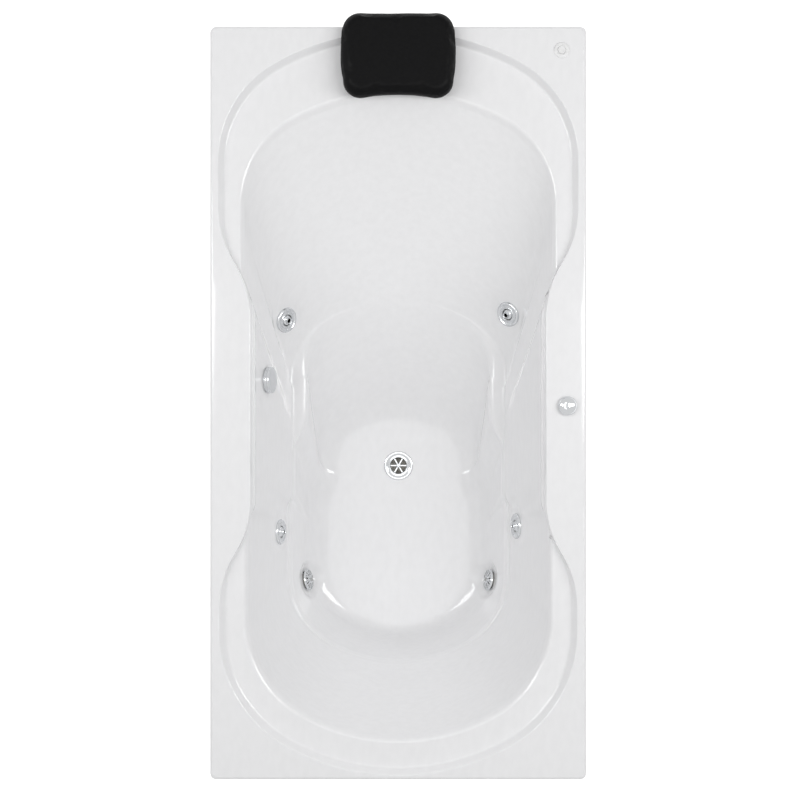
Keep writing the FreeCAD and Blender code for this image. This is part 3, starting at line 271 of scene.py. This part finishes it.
# From the rim down; each outline with the radius of the mould's edge there.
levels = [
    (ring(rim_top, end, -end, shoulder, waist, shoulder - 3, armrest_to), 7),
    (ring(shelf_top, end - step_run, -end + step_run, shoulder - step_run, waist - 5,
          shoulder - step_run - 3, armrest_to), 9),
    (ring(shelf_top, end - step_run - head_shelf, -end + step_run + foot_shelf, shelf_edge + 4,
          waist - 10, shelf_edge - 6, armrest_to), 16),
    (wall_ring(edge_z), 16), (wall_ring(ledge_outer), 14), (wall_ring(ledge_top), 14),
    (channel_ring(ledge_top, 0), 10), (channel_ring(ledge_top - 12, 7), 14),
    (ring(low, backrest_y(low), foot_slope_y(low), floor_half_width + 11, floor_half_width + 8,
          toe_half_width + 13, flare_from), 40),
    (ring(floor_top, back_foot_y - 14, foot_toe_y + 12, floor_half_width - 9, floor_half_width - 12,
          toe_half_width - 14, flare_from), 40),
]


def round_corners(points, radii, steps=6, longest=14.0):
    """Round the inner corners of many polylines at once. points is corners by lines by axes; each
    corner becomes a curve of steps pieces, and each straight run is cut to the longest piece."""
    rows = [points[0]]
    last = points[0]
    for k in range(1, len(points) - 1):
        before, after = points[k] - points[k - 1], points[k + 1] - points[k]
        run_in = np.linalg.norm(before, axis=-1, keepdims=True) + 1e-6
        run_out = np.linalg.norm(after, axis=-1, keepdims=True) + 1e-6
        straightness = np.clip((before * after).sum(-1, keepdims=True) / run_in / run_out, -1, 1)
        reach = radii[k] * np.tan(np.arccos(straightness) / 2)
        reach = np.minimum(reach, 0.48 * np.minimum(run_in, run_out))
        start, stop = points[k] - before / run_in * reach, points[k] + after / run_out * reach
        count = max(1, int(np.median(np.linalg.norm(start - last, axis=-1)) / longest))
        rows += [last + (start - last) * t for t in np.linspace(0, 1, count + 1)[1:]]
        for t in np.linspace(0, 1, steps + 1)[1:]:
            rows.append(start * (1 - t) ** 2 + points[k] * 2 * t * (1 - t) + stop * t * t)
        last = stop
    count = max(1, int(np.median(np.linalg.norm(points[-1] - last, axis=-1)) / longest))
    rows += [last + (points[-1] - last) * t for t in np.linspace(0, 1, count + 1)[1:]]
    return np.array(rows)


def rim_outline(inset):
    """Rounded rectangle of the rim, drawn in by the inset."""
    half_x, half_y, corner = width / 2 - inset, length / 2 - inset, max(rim_corner - inset, 1)
    points = []
    for k, (sx, sy) in enumerate(((1, 1), (-1, 1), (-1, -1), (1, -1))):
        for a in np.linspace(0, pi / 2, 9):
            angle = a + k * pi / 2
            points.append((sx * (half_x - corner) + corner * cos(angle),
                           sy * (half_y - corner) + corner * sin(angle)))
    return np.array(points)


def held_inside(inner, outer, gap):
    """Draw a lower outline in where it would pass outside the one above it."""
    middle = len(outer) // 2 + 1
    side_y, side_x = outer[:middle, 1][::-1], outer[:middle, 0][::-1]
    limit = np.interp(inner[:, 1], side_y, side_x) - gap
    kept = inner.copy()
    kept[:, 0] = np.sign(inner[:, 0]) * np.minimum(np.abs(inner[:, 0]), np.maximum(limit, 0))
    return kept


rings = [outline for outline, radius in levels]
mould_radii = [radius for outline, radius in levels]
# The well's outlines are held inside the wall above them, where the ledge narrows to nothing.
rings[6] = held_inside(rings[6], rings[5], 2)
rings[7] = held_inside(rings[7], rings[6], 5)
# A last line lies 3.9 mm out on the flat rim, and the floor closes along its middle.
outwards = (rings[0] - rings[1]) * (1, 1, 0)
outward = rings[0] + outwards / np.linalg.norm(outwards, axis=1, keepdims=True) * 3.9
floor_middle = rings[-1] * (0, 1, 1)
floor_middle[:, 1] = np.clip(floor_middle[:, 1], foot_toe_y + 80, back_foot_y - 90)
meridians = round_corners(np.array([outward] + rings + [floor_middle]), [0] + mould_radii + [0])
# The drawn sheet runs from the walls to the floor in broad soft curves.
soft_from = int(np.argmin(np.abs(meridians[:, 0, 2] - soft_below)))
for _ in range(soft_passes):
    above, here, below = meridians[soft_from:-2], meridians[soft_from + 1:-1], meridians[soft_from + 2:]
    meridians[soft_from + 1:-1] = (above + 2 * here + below) / 4


def seat_of(node, part, towards):
    """Where a turned fitting's flange meets the wall, and its axis, read from its own vertices: all
    that lie near part, out of a node of several alike."""
    places = np.array([v.co for v in nodes[node].data.vertices])
    if part is not None:
        places = places[np.linalg.norm(places - np.array(part), axis=1) < 0.12]
    middle = places.mean(0)
    spread, axes = np.linalg.eigh(np.cov((places - middle).T))
    axis = axes[:, 0 if spread[1] - spread[0] > spread[2] - spread[1] else 2]
    if axis @ np.array(towards) < 0:
        axis = -axis
    return Vector(middle + axis * ((places - middle) @ axis).min()), Vector(axis)


jet_seats, suction_seats = {}, {}
for joint in frame["joints"]:
    if joint["name"].startswith("jet_tilt_"):
        place = joint["name"][len("jet_tilt_"):]
        middle = sum(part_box("jet_nozzle_" + place), Vector()) / 2
        jet_seats[place] = seat_of("jet_rings", middle, -middle)
for side, hand in ((-1, "left"), (1, "right")):
    near = Vector((side * 0.244, -0.478, 0.138))
    suction_seats[hand] = seat_of("suction_covers", near, -near * Vector((1, 1, -1)))
overflow_seat = seat_of("overflow_plate", None, (1, 0, 0))
drain_middle = sum(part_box("drain_strainer"), Vector()) / 2
knob_middle = sum(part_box("air_control_knob"), Vector()) / 2
button_middle = sum(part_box("air_button"), Vector()) / 2
floor_spot = Vector((drain_middle.x, drain_middle.y, floor_top * mm))
knob_spot = Vector((knob_middle.x, knob_middle.y, rim_top * mm))
button_spot = Vector((button_middle.x, button_middle.y, rim_top * mm))
up = Vector((0, 0, 1))

# Each flange with its place, its axis, the radius kept flat for it and the radius of its hole.
fittings = [(*seat, 37, 27) for seat in jet_seats.values()]
fittings += [(*seat, 33, 24) for seat in suction_seats.values()]
fittings.append((*overflow_seat, 36, 24))

# The wall within 45 mm of a flange's plane is drawn onto it.
surface = meridians.reshape(-1, 3) * mm
for spot, axis, flat, hole in fittings:
    offset = surface - np.array(spot)
    along = offset @ np.array(axis)
    beside = np.linalg.norm(offset - along[:, None] * np.array(axis), axis=1)
    near = (np.abs(along) < 0.045) & (beside < (flat + flat_margin + flat_blend) * mm)
    share = np.clip((beside[near] / mm - flat - flat_margin) / flat_blend, 0, 1)
    share = 1 - share * share * (3 - 2 * share)
    surface[near] -= (share * along[near])[:, None] * np.array(axis)

shell = bmesh.new()
rows, columns = meridians.shape[:2]
points = [shell.verts.new(p) for p in surface]
for i in range(rows - 1):
    for j in range(columns):
        k = (j + 1) % columns
        shell.faces.new((points[i * columns + j], points[(i + 1) * columns + j],
                         points[(i + 1) * columns + k], points[i * columns + k]))
last_row = [points[(rows - 1) * columns + j] for j in range(columns)]
bmesh.ops.remove_doubles(shell, verts=last_row, dist=0.4 * mm)
shell.verts.ensure_lookup_table()

# The flat rim runs out to a rounded rectangle, and its edge turns down into a lip.
lips = [(rim_round * (1 - sin(a)), rim_top - rim_round * (1 - cos(a))) for a in np.linspace(0, pi / 2, 7)]
lips.append((0, rim_top - lip_height))
loops = []
for inset, z in lips:
    loops.append([shell.verts.new((x * mm, y * mm, z * mm)) for x, y in rim_outline(inset)])
for upper, lower in zip(loops, loops[1:]):
    for j in range(len(upper)):
        k = (j + 1) % len(upper)
        shell.faces.new((upper[j], upper[k], lower[k], lower[j]))
top_edges = [edge for edge in shell.edges if edge.is_boundary
             and all(abs(vert.co.z - rim_top * mm) < 1e-5 for vert in edge.verts)]
bmesh.ops.triangle_fill(shell, use_beauty=True, edges=top_edges)
bmesh.ops.recalc_face_normals(shell, faces=shell.faces)
if sum(face.normal.z * face.calc_area() for face in shell.faces) < 0:
    bmesh.ops.reverse_faces(shell, faces=shell.faces)
for face in shell.faces:
    face.smooth = True
tub_mesh = bpy.data.meshes.new("acrylic_tub")
shell.to_mesh(tub_mesh)
shell.free()
tub = bpy.data.objects.new("acrylic_tub", tub_mesh)
bpy.context.scene.collection.objects.link(tub)


def apply_modifiers(obj):
    """Replace an object's mesh by what its modifiers make of it."""
    graph = bpy.context.evaluated_depsgraph_get()
    fresh = bpy.data.meshes.new_from_object(obj.evaluated_get(graph), preserve_all_data_layers=True,
                                            depsgraph=graph)
    obj.modifiers.clear()
    obj.data = fresh


def cut_out(obj, saw_bm):
    """Cut a bmesh out of an object."""
    saw_mesh = bpy.data.meshes.new("saw")
    saw_bm.to_mesh(saw_mesh)
    saw_bm.free()
    saw = bpy.data.objects.new("saw", saw_mesh)
    bpy.context.scene.collection.objects.link(saw)
    cut = obj.modifiers.new("cut", "BOOLEAN")
    cut.object = saw
    cut.solver = "EXACT"
    apply_modifiers(obj)
    bpy.data.objects.remove(saw)


# Cast acrylic, drawn over a polished mould: a clear gloss with the slightest wave in it.
acrylic, tree, shader = finish_of("white_cast_acrylic", "#f2f2f3", 0.1, Coat_Weight=0.3,
                                  Coat_Roughness=0.03, IOR=1.49)
grain = add(tree, "ShaderNodeTexNoise", {"Scale": 55.0, "Detail": 2.0})
tint(tree, shader, grain.outputs["Fac"], (0.3, "#f0f0f1"), (0.7, "#f3f3f4"))
wave = add(tree, "ShaderNodeTexNoise", {"Scale": 4.0, "Detail": 1.0})
relief(tree, shader, wave.outputs["Fac"], 0.04, 2)
# Polyester resin with chopped glass, rolled on by hand: rough, yellowish, with strands showing.
backing, tree, shader = finish_of("resin_and_chopped_glass", "#d8d3c0", 0.6)
strands = add(tree, "ShaderNodeTexVoronoi", {"Scale": 160.0, "Randomness": 1.0})
tint(tree, shader, strands.outputs["Distance"], (0.0, "#c9c2a8"), (0.6, "#e2dfd2"))
relief(tree, shader, strands.outputs["Distance"], 0.5, 0.6)
tub.data.materials.append(acrylic)
tub.data.materials.append(backing)

# The sheet gets its thickness outwards, and the holes of all fittings are drilled through it.
thick = tub.modifiers.new("sheet", "SOLIDIFY")
thick.thickness = skin * mm
thick.offset = -1
thick.use_even_offset = False
thick.material_offset = 1
thick.material_offset_rim = 1
fittings += [(floor_spot, up, 0, 27), (knob_spot, up, 0, 14), (button_spot, up, 0, 14)]
drills = bmesh.new()
for spot, axis, flat, hole in fittings:
    turn = Vector(axis).to_track_quat("Z", "Y").to_matrix().to_4x4()
    bmesh.ops.create_cone(drills, cap_ends=True, segments=64, radius1=hole * mm, radius2=hole * mm,
                          depth=40 * mm, matrix=Matrix.Translation(spot) @ turn)
cut_out(tub, drills)
# Large faces lead the shading, so the flat rim stays flat beside its rounded edge.
even = tub.modifiers.new("even_shading", "WEIGHTED_NORMAL")
even.mode = "FACE_AREA"
even.weight = 100
even.keep_sharp = True
apply_modifiers(tub)

# Where the sheet folds tight at the waist, slivers of its back come through: they are acrylic too.
# A face is one of them if nothing lies between it and an eye high above the tub.
corners = [v.co.copy() for v in tub.data.vertices]
sheet = BVHTree.FromPolygons(corners, [face.vertices for face in tub.data.polygons])
eye = Vector((0, 0, 4))
for face in tub.data.polygons:
    if face.material_index == 1:
        for spot in [face.center] + [corners[i] for i in face.vertices]:
            sight = (eye - spot).normalized()
            if sheet.ray_cast(spot + sight * 0.3 * mm, sight)[0] is None:
                face.material_index = 0
                break

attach(tub, "tub")
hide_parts("tub_shell")


# ---------------------------------------------------------------- jets
# Four aimable jets: a chromed ABS ring screwed over the wall fitting, dished towards a chromed ball
# with a short spout. The plate is bright and smooth, and the bath is mirrored in it.

def local_frame(place, axis):
    """Matrix of a fitting: local Z out of the wall, local X level along it."""
    out = Vector(axis).normalized()
    level = up.cross(out)
    level = level.normalized() if level.length > 1e-6 else Vector((1, 0, 0))
    turn = Matrix((level, out.cross(level), out)).transposed()
    return Matrix.Translation(place) @ turn.to_4x4()


def eased(profile, radius, steps=4):
    """A closed profile in millimetres with rounded corners. A corner may give its own radius as a
    third number."""
    points = []
    for i, corner in enumerate(profile):
        before, after = profile[i - 1], profile[(i + 1) % len(profile)]
        here = Vector(corner[:2])
        to_before, to_after = Vector(before[:2]) - here, Vector(after[:2]) - here
        wanted = corner[2] if len(corner) > 2 else radius
        reach = min(wanted, 0.45 * to_before.length, 0.45 * to_after.length)
        if here.x < 1e-6 or reach < 1e-6:
            points.append(here)
            continue
        start, stop = here + to_before.normalized() * reach, here + to_after.normalized() * reach
        for k in range(steps + 1):
            s = k / steps
            points.append(start * (1 - s) ** 2 + here * 2 * s * (1 - s) + stop * s * s)
    return points


def turned(name, profile, frame_of, material, radius=0.5, sides=96):
    """A lathe-turned piece. The profile runs clockwise through radius and height, in millimetres."""
    line = eased(profile, radius)
    bm = bmesh.new()
    hoops = []
    for point in line:
        if point.x < 1e-4:
            hoops.append([bm.verts.new((0, 0, point.y * mm))])
        else:
            hoops.append([bm.verts.new(Vector((point.x * cos(a), point.x * sin(a), point.y)) * mm)
                          for a in (2 * pi * k / sides for k in range(sides))])
    for i in range(len(hoops)):
        a, b = hoops[i - 1], hoops[i]
        for k in range(sides):
            m = (k + 1) % sides
            face = list(dict.fromkeys([a[k % len(a)], a[m % len(a)], b[m % len(b)], b[k % len(b)]]))
            if len(face) > 2:
                bm.faces.new(face)
    bmesh.ops.recalc_face_normals(bm, faces=bm.faces)
    return piece_from(bm, name, frame_of, material)


def piece_from(bm, name, frame_of, material):
    """Make an object of a bmesh, smooth but for its sharp edges, and set it in its place."""
    bm.transform(frame_of)
    for face in bm.faces:
        face.smooth = True
    for edge in bm.edges:
        if len(edge.link_faces) == 2 and edge.calc_face_angle(0) > radians(38):
            edge.smooth = False
    mesh = bpy.data.meshes.new(name)
    bm.to_mesh(mesh)
    bm.free()
    obj = bpy.data.objects.new(name, mesh)
    bpy.context.scene.collection.objects.link(obj)
    mesh.materials.append(material)
    return obj


# Bright chrome plate over polished ABS: a clear mirror with faint wipe marks and water spots.
chrome, tree, shader = finish_of("bright_chrome_plate", "#dcdee0", 0.06, Metallic=1.0)
spots = add(tree, "ShaderNodeTexNoise", {"Scale": 1 / (9 * mm), "Detail": 3.0})
dull = add(tree, "ShaderNodeMapRange", {"Value": spots.outputs["Fac"], "From Min": 0.45,
                                        "From Max": 0.75, "To Min": 0.04, "To Max": 0.16})
tree.links.new(dull.outputs["Result"], shader.inputs["Roughness"])
plate_wave = add(tree, "ShaderNodeTexNoise", {"Scale": 1 / (14 * mm), "Detail": 1.0})
relief(tree, shader, plate_wave.outputs["Fac"], 0.05, 0.2)

# Radius, height and rounding. The ring has a raised lip, a dished face and a bead round the ball.
ring_profile = [(27.2, 0.3), (33, 0.2), (33, 2.4, 1.6), (30.6, 5.6, 1.6), (27.6, 6.3, 1.2), (25.4, 5.2),
                (24.6, 4.4, 0.8), (18.6, 4.0, 0.8), (17.6, 5.0, 0.8), (15.6, 5.0, 0.8), (15.2, 2.7),
                (27.2, 2.7)]
# The ball turns 6 mm behind the ring's foot, is bored through, and ends in a flared spout.
ball_middle, ball_radius = -6.0, 16.1
ball_profile = [(5.2, ball_middle - 12.4)]
for angle in np.radians(np.linspace(-49, 59, 19)):
    ball_profile.append((ball_radius * cos(angle), ball_middle + ball_radius * sin(angle), 0))
ball_profile += [(8.2, 9.0), (7.6, 10.5), (8.0, 13.2), (6.8, 13.4), (5.2, 11.5)]
for place, seat in jet_seats.items():
    here = local_frame(*seat)
    jet_ring = turned("jet_ring_" + place, ring_profile, here, chrome)
    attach(jet_ring, "tub")
    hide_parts("jet_rings")
    ball = turned("jet_ball_" + place, ball_profile, here, chrome, radius=0.6)
    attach(ball, "nozzle_" + place)
    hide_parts("jet_nozzle_" + place)


# ---------------------------------------------------------------- suction covers
# Two domed safety grilles of chromed ABS over the pump's intakes, each held by one stainless screw.
# Ten slots and a ring of small holes are moulded through each, so it reads darker than the jets.

# The dome rises to a boss for the screw, and its shell is 4 mm thick down to the neck.
dome_line = [(0, 9.0), (6, 9.0), (11, 8.4), (15, 7.6), (20, 6.7), (25, 5.6), (28, 4.2), (29.6, 2.2),
             (30, 0.2)]
under_line = [(27, 0.2), (24.6, 2.6), (20, 3.9), (15, 4.9), (11, 5.6), (8.2, 5.8), (8.2, -5.8), (0, -5.8)]
neck_depth = 6            # the cover's neck reaches this far into the wall
for hand, (spot, out) in suction_seats.items():
    cover = turned("suction_grille_" + hand, dome_line + under_line, Matrix.Identity(4), chrome,
                   radius=0.3, sides=120)
    slots = bmesh.new()
    for k in range(10):
        spoke = Matrix.Rotation(2 * pi * k / 10, 4, "Z")
        bmesh.ops.create_cube(slots, size=1, matrix=spoke @ Matrix.Translation((18.3 * mm, 0, 10 * mm))
                              @ Matrix.Diagonal((14.6 * mm, 3.2 * mm, 18.9 * mm, 1)))
        between = Matrix.Rotation(2 * pi * (k + 0.5) / 10, 4, "Z")
        bmesh.ops.create_cone(slots, cap_ends=True, segments=16, radius1=1.5 * mm, radius2=1.5 * mm,
                              depth=18 * mm,
                              matrix=between @ Matrix.Translation((22.5 * mm, 0, 9.6 * mm)))
    cut_out(cover, slots)
    cover.data.transform(local_frame(spot + out * neck_depth * mm, out))
    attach(cover, "tub")
    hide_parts("suction_covers")


# ---------------------------------------------------------------- drain
# The drain's brass flange is chromed and screwed down on the floor of the bath. Its dish leads to a
# strainer of six spokes round a hub, cast in one with the body.

drain_frame = local_frame(floor_spot, up)
drain = turned("drain_flange", [(22.9, 0.1), (39.5, 0.1), (39.5, 1.2, 1.0), (36.8, 2.2, 0.8), (33.5, 2.0),
                                (29, 0.6, 3), (23.4, -2.4, 3), (21, -6), (21, -31.8), (22.9, -31.8)],
               drain_frame, chrome)
web_bm = bmesh.new()
for k in range(6):
    spoke = Matrix.Rotation(2 * pi * k / 6, 4, "Z")
    bmesh.ops.create_cube(web_bm, size=1, matrix=spoke @ Matrix.Translation((13.6 * mm, 0, -7.4 * mm))
                          @ Matrix.Diagonal((16.4 * mm, 3.0 * mm, 2.9 * mm, 1)))
bmesh.ops.bevel(web_bm, geom=web_bm.edges[:], offset=0.6 * mm, segments=2, affect="EDGES")
spokes = piece_from(web_bm, "drain_spokes", drain_frame, chrome)
hub = turned("drain_hub", [(0, -4.4), (4.2, -4.7, 1.5), (6.5, -6.2, 1.2), (6.5, -9.4), (0, -9.4)],
             drain_frame, chrome)
for piece in (drain, spokes, hub):
    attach(piece, "tub")
    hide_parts("drain_strainer")


# ---------------------------------------------------------------- overflow
# A round chromed drum turns on a fixed back ring and lifts the drain's plug through a crank. A
# fine groove runs round its edge for a wet hand.

spot, out = overflow_seat
overflow_frame = local_frame(spot, out)
back_ring = turned("overflow_back_ring", [(17, 0.1), (30, 0.1), (30, 2.8, 1.0), (17, 2.8, 0.8)],
                   overflow_frame, chrome)
arms_bm = bmesh.new()
for k in range(3):
    arm = Matrix.Rotation(pi / 2 + 2 * pi * k / 3, 4, "Z")
    bmesh.ops.create_cube(arms_bm, size=1, matrix=arm @ Matrix.Translation((13 * mm, 0, 1.5 * mm))
                          @ Matrix.Diagonal((10 * mm, 5 * mm, 2.6 * mm, 1)))
bmesh.ops.bevel(arms_bm, geom=arms_bm.edges[:], offset=0.5 * mm, segments=2, affect="EDGES")
arms = piece_from(arms_bm, "overflow_arms", overflow_frame, chrome)
bearing = turned("overflow_bearing", [(4.4, 0.1), (9, 0.1), (9, 2.8, 0.8), (4.4, 2.8)],
                 overflow_frame, chrome)
for piece in (back_ring, arms, bearing):
    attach(piece, "tub")
    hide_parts("overflow_plate")
# The drum's spindle runs through the wall and ends in the crank's disc.
crank_end = min((v.co - spot).dot(out) for v in nodes["overflow_knob"].data.vertices) / mm
drum = turned("overflow_drum", [(0, 16.0), (20, 16.2, 4), (31.4, 15.4, 2), (33, 13.6, 1.4), (33, 9, 0.3),
                                (32.4, 8.2, 0.3), (33, 7.4, 0.3), (33, 3.6), (30.6, 3.6), (30.6, 13),
                                (4, 13.2), (4, crank_end + 3), (11, crank_end + 3), (11, crank_end),
                                (0, crank_end)], overflow_frame, chrome)
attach(drum, "overflow_handle")
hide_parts("overflow_knob")


# ---------------------------------------------------------------- controls on the rim
# On the right rim a chromed dome turns to let air into the jets, and at the head corner a small
# white button is pressed to start the pump by a puff of air. Both sit in moulded ABS sleeves.

# Moulded ABS: even satin white with a very fine orange peel.
white_abs, tree, shader = finish_of("moulded_white_abs", "#eeeeee", 0.28)
peel = add(tree, "ShaderNodeTexNoise", {"Scale": 1 / (1.2 * mm), "Detail": 2.0})
relief(tree, shader, peel.outputs["Fac"], 0.12, 0.1)
tint(tree, shader, peel.outputs["Fac"], (0.3, "#ebebeb"), (0.7, "#f1f1f1"))

knob_frame, button_frame = local_frame(knob_spot, up), local_frame(button_spot, up)
air_knob = turned("air_knob_dome", [(0, 17.8), (9, 17.4, 4), (16, 15.4, 4), (20.8, 11.6, 3),
                                    (23.3, 7.5, 1.5), (23.4, 3.6), (21.6, 3.6), (20, 7), (6, 8),
                                    (6, -15.8), (0, -15.8)], knob_frame, chrome)
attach(air_knob, "air_knob")
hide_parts("air_control_knob")
button = turned("air_button_cap", [(0, 4.7), (5.5, 4.9, 3), (8.2, 5.35, 0.6), (9.6, 4.2, 0.8),
                                   (9.6, -8), (0, -8)], button_frame, white_abs)
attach(button, "button")
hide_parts("air_button")
knob_sleeve = turned("air_knob_sleeve", [(6.5, 2.9), (21.4, 2.9, 0.8), (21.4, 0.1), (15.4, 0.1),
                                         (15.4, -28), (11.5, -28), (11.5, -48), (8.2, -48), (8.2, -38),
                                         (6.5, -38)], knob_frame, white_abs)
button_sleeve = turned("air_button_sleeve", [(10, 3.3, 0.4), (13.5, 3.35, 0.8), (17, 2.9, 1.5),
                                             (19.4, 1.4, 0.8), (19.4, 0.1), (13.9, 0.1), (13.9, -28),
                                             (5.5, -28), (5.5, -42), (3.2, -42), (3.2, -32), (1.2, -32),
                                             (1.2, -25), (10, -25)], button_frame, white_abs)
for piece in (knob_sleeve, button_sleeve):
    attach(piece, "tub")
    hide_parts("deck_sleeves")


# ---------------------------------------------------------------- pillow
# The head pillow is moulded polyurethane foam with its own closed black skin. It lies over the end
# of the rim and is held by suction cups underneath. The skin is satin and very finely pebbled.

# The CAD block is remeshed evenly, shrunk a little and blown up as a skin of cloth.
pillow = bpy.data.objects.new("head_pillow", nodes["pillow"].data.copy())
bpy.context.scene.collection.objects.link(pillow)
pillow.data.materials.clear()
remesh = pillow.modifiers.new("remesh", "REMESH")
remesh.mode = "VOXEL"
remesh.voxel_size = 5 * mm
apply_modifiers(pillow)
pillow_low, pillow_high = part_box("pillow")
pillow_middle = np.array((pillow_low + pillow_high) / 2)
places = np.array([v.co for v in pillow.data.vertices])
places = (places - pillow_middle) * 0.99 + pillow_middle       # room to swell
pillow.data.vertices.foreach_set("co", places.ravel())
cloth = pillow.modifiers.new("skin", "CLOTH")
cloth.settings.quality = 5
cloth.settings.use_pressure = True
cloth.settings.uniform_pressure_force = 4
cloth.settings.effector_weights.gravity = 0
cloth.point_cache.frame_start, cloth.point_cache.frame_end = 1, 20
for step in range(1, 21):
    bpy.context.scene.frame_set(step)
apply_modifiers(pillow)
bpy.context.scene.frame_set(1)
# No point swells by more than 6 mm, and the whole is fitted to the moulding's size.
swollen = np.array([v.co for v in pillow.data.vertices])
moved = swollen - places
reach = np.linalg.norm(moved, axis=1, keepdims=True)
swollen = places + moved * np.minimum(1, 6 * mm / np.maximum(reach, 1e-9))
low_limit = np.array(pillow_low) + 0.4 * mm
high_limit = np.array(pillow_high) - 0.4 * mm
swollen = np.clip(swollen, low_limit, high_limit)
swollen = low_limit + (swollen - swollen.min(0)) / np.ptp(swollen, axis=0) * (high_limit - low_limit)
pillow.data.vertices.foreach_set("co", swollen.ravel())
finer = pillow.modifiers.new("finer", "SUBSURF")
finer.levels = finer.render_levels = 1
apply_modifiers(pillow)
for face in pillow.data.polygons:
    face.use_smooth = True

# The foam's own skin: near black and satin, pebbled at 1.4 mm, a little unevenly worn.
foam_skin, tree, shader = finish_of("black_integral_foam_skin", "#0a0a0b", 0.42, Specular_IOR_Level=0.1)
pebble = add(tree, "ShaderNodeTexVoronoi", {"Scale": 1 / (1.4 * mm), "Randomness": 1.0})
relief(tree, shader, pebble.outputs["Distance"], 0.25, 0.15)
wear = add(tree, "ShaderNodeTexNoise", {"Scale": 1 / (30 * mm), "Detail": 3.0})
tint(tree, shader, wear.outputs["Fac"], (0.35, "#070708"), (0.7, "#0c0c0d"))
pillow.data.materials.append(foam_skin)
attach(pillow, "pillow")
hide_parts("pillow")


# ---------------------------------------------------------------- timber under the tub
# A plywood board lies under the bath's floor and carries the pump, and softwood runners stand
# between it and the subfloor. Both are bare sawn wood, sealed once.

def timber(name, light, dark, ring, seed):
    """Sawn timber along X, with growth rings of the given spacing in millimetres."""
    material, tree, shader = finish_of(name, light, 0.72)
    place = add(tree, "ShaderNodeTexCoord")
    stretch = add(tree, "ShaderNodeMapping", {"Vector": place.outputs["Object"], "Scale": (0.12, 1, 1),
                                              "Location": (seed, 0.3, 0.1)})
    rings = add(tree, "ShaderNodeTexNoise", {"Vector": stretch.outputs["Vector"], "Scale": 1 / (ring * mm),
                                             "Detail": 6.0, "Distortion": 0.6})
    tint(tree, shader, rings.outputs["Fac"], (0.35, dark), (0.65, light))
    relief(tree, shader, rings.outputs["Fac"], 0.3, 0.3)
    return material


def coat(slot, material):
    """Give a finish to every CAD node of one material slot."""
    for sub in frame["record"]["subparts"]:
        if sub["material_slot"] == slot:
            slots = nodes[sub["node"]].data.materials
            if not slots:
                slots.append(material)
            for k in range(len(slots)):
                slots[k] = material


# Pale close-grained birch for the board, and yellower spruce with narrow rings for the runners.
coat("plywood", timber("sealed_birch_plywood", "#c9a878", "#a98456", 14, 2.0))
coat("softwood", timber("sawn_spruce", "#d8bd8c", "#b8935f", 6, 5.0))
# What is left of the CAD pieces in the finishes above.
coat("chrome", chrome)
coat("white_abs", white_abs)


# ---------------------------------------------------------------- pipework
# Pressure pipe and fittings are white PVC, extruded or moulded and glued. Gaskets and feet are
# black rubber, the button's air tube is clear vinyl, and the screws and bolts are stainless.

def moulded(name, colour, dark, roughness, grit, depth, **sockets):
    """A moulded or cast finish whose mottling and grain have the given size in millimetres."""
    material, tree, shader = finish_of(name, colour, roughness, **sockets)
    grain = add(tree, "ShaderNodeTexNoise", {"Scale": 1 / (grit * mm), "Detail": 4.0, "Roughness": 0.6})
    relief(tree, shader, grain.outputs["Fac"], depth, 0.3)
    cloud = add(tree, "ShaderNodeTexNoise", {"Scale": 1 / (grit * 12 * mm), "Detail": 2.0})
    tint(tree, shader, cloud.outputs["Fac"], (0.3, dark), (0.7, colour))
    return material


# Off-white satin pipe; dull matt rubber; and two soft vinyls that let light through.
coat("white_pvc", moulded("extruded_white_pvc", "#e9e8e3", "#dedcd3", 0.34, 2.0, 0.06))
coat("rubber", moulded("black_nitrile_rubber", "#232324", "#18181a", 0.75, 0.8, 0.3))
coat("clear_hose", moulded("clear_vinyl_tube", "#dfe6e8", "#cfd8da", 0.15, 3.0, 0.05,
                           Transmission_Weight=0.6))
coat("cup_vinyl", moulded("clear_grey_vinyl", "#9aa0a3", "#858b8e", 0.2, 3.0, 0.05,
                          Transmission_Weight=0.4))


def machined(name, colour, dark, roughness, line):
    """Bare metal with tool lines of the given spacing in millimetres, drawn coarse enough to show."""
    material, tree, shader = finish_of(name, colour, roughness, Metallic=1.0)
    place = add(tree, "ShaderNodeTexCoord")
    stretch = add(tree, "ShaderNodeMapping", {"Vector": place.outputs["Object"], "Scale": (1, 0.1, 0.1)})
    lines = add(tree, "ShaderNodeTexNoise", {"Vector": stretch.outputs["Vector"], "Scale": 1 / (line * mm),
                                             "Detail": 3.0})
    tint(tree, shader, lines.outputs["Fac"], (0.3, dark), (0.7, colour))
    relief(tree, shader, lines.outputs["Fac"], 0.15, 0.1)
    return material


# Grey satin steel for screws and bolts, and warm bright brass.
coat("stainless", machined("brushed_stainless_steel", "#c3c3c1", "#a9a9a7", 0.3, 0.8))
coat("brass", machined("turned_brass", "#c9a35a", "#ab8443", 0.28, 0.8))


# ---------------------------------------------------------------- pump
# A motor and its wet end on a moulded saddle. The casing and saddle are black glass-filled nylon,
# the motor's shell is enamelled steel, and inside are the turned rotor and the laminated stator.

# Grainy dark nylon, smoother enamel, bright turned steel and dull dark laminations.
coat("black_nylon", moulded("glass_filled_nylon", "#2a2b2d", "#1c1d1f", 0.55, 0.9, 0.35))
coat("motor_paint", moulded("black_motor_enamel", "#202124", "#17181a", 0.33, 1.6, 0.18))
coat("rotor_steel", machined("turned_rotor_steel", "#9b9c9e", "#7d7e80", 0.32, 0.7))
coat("stator_iron", machined("laminated_stator_iron", "#7a7875", "#57544f", 0.5, 0.6))
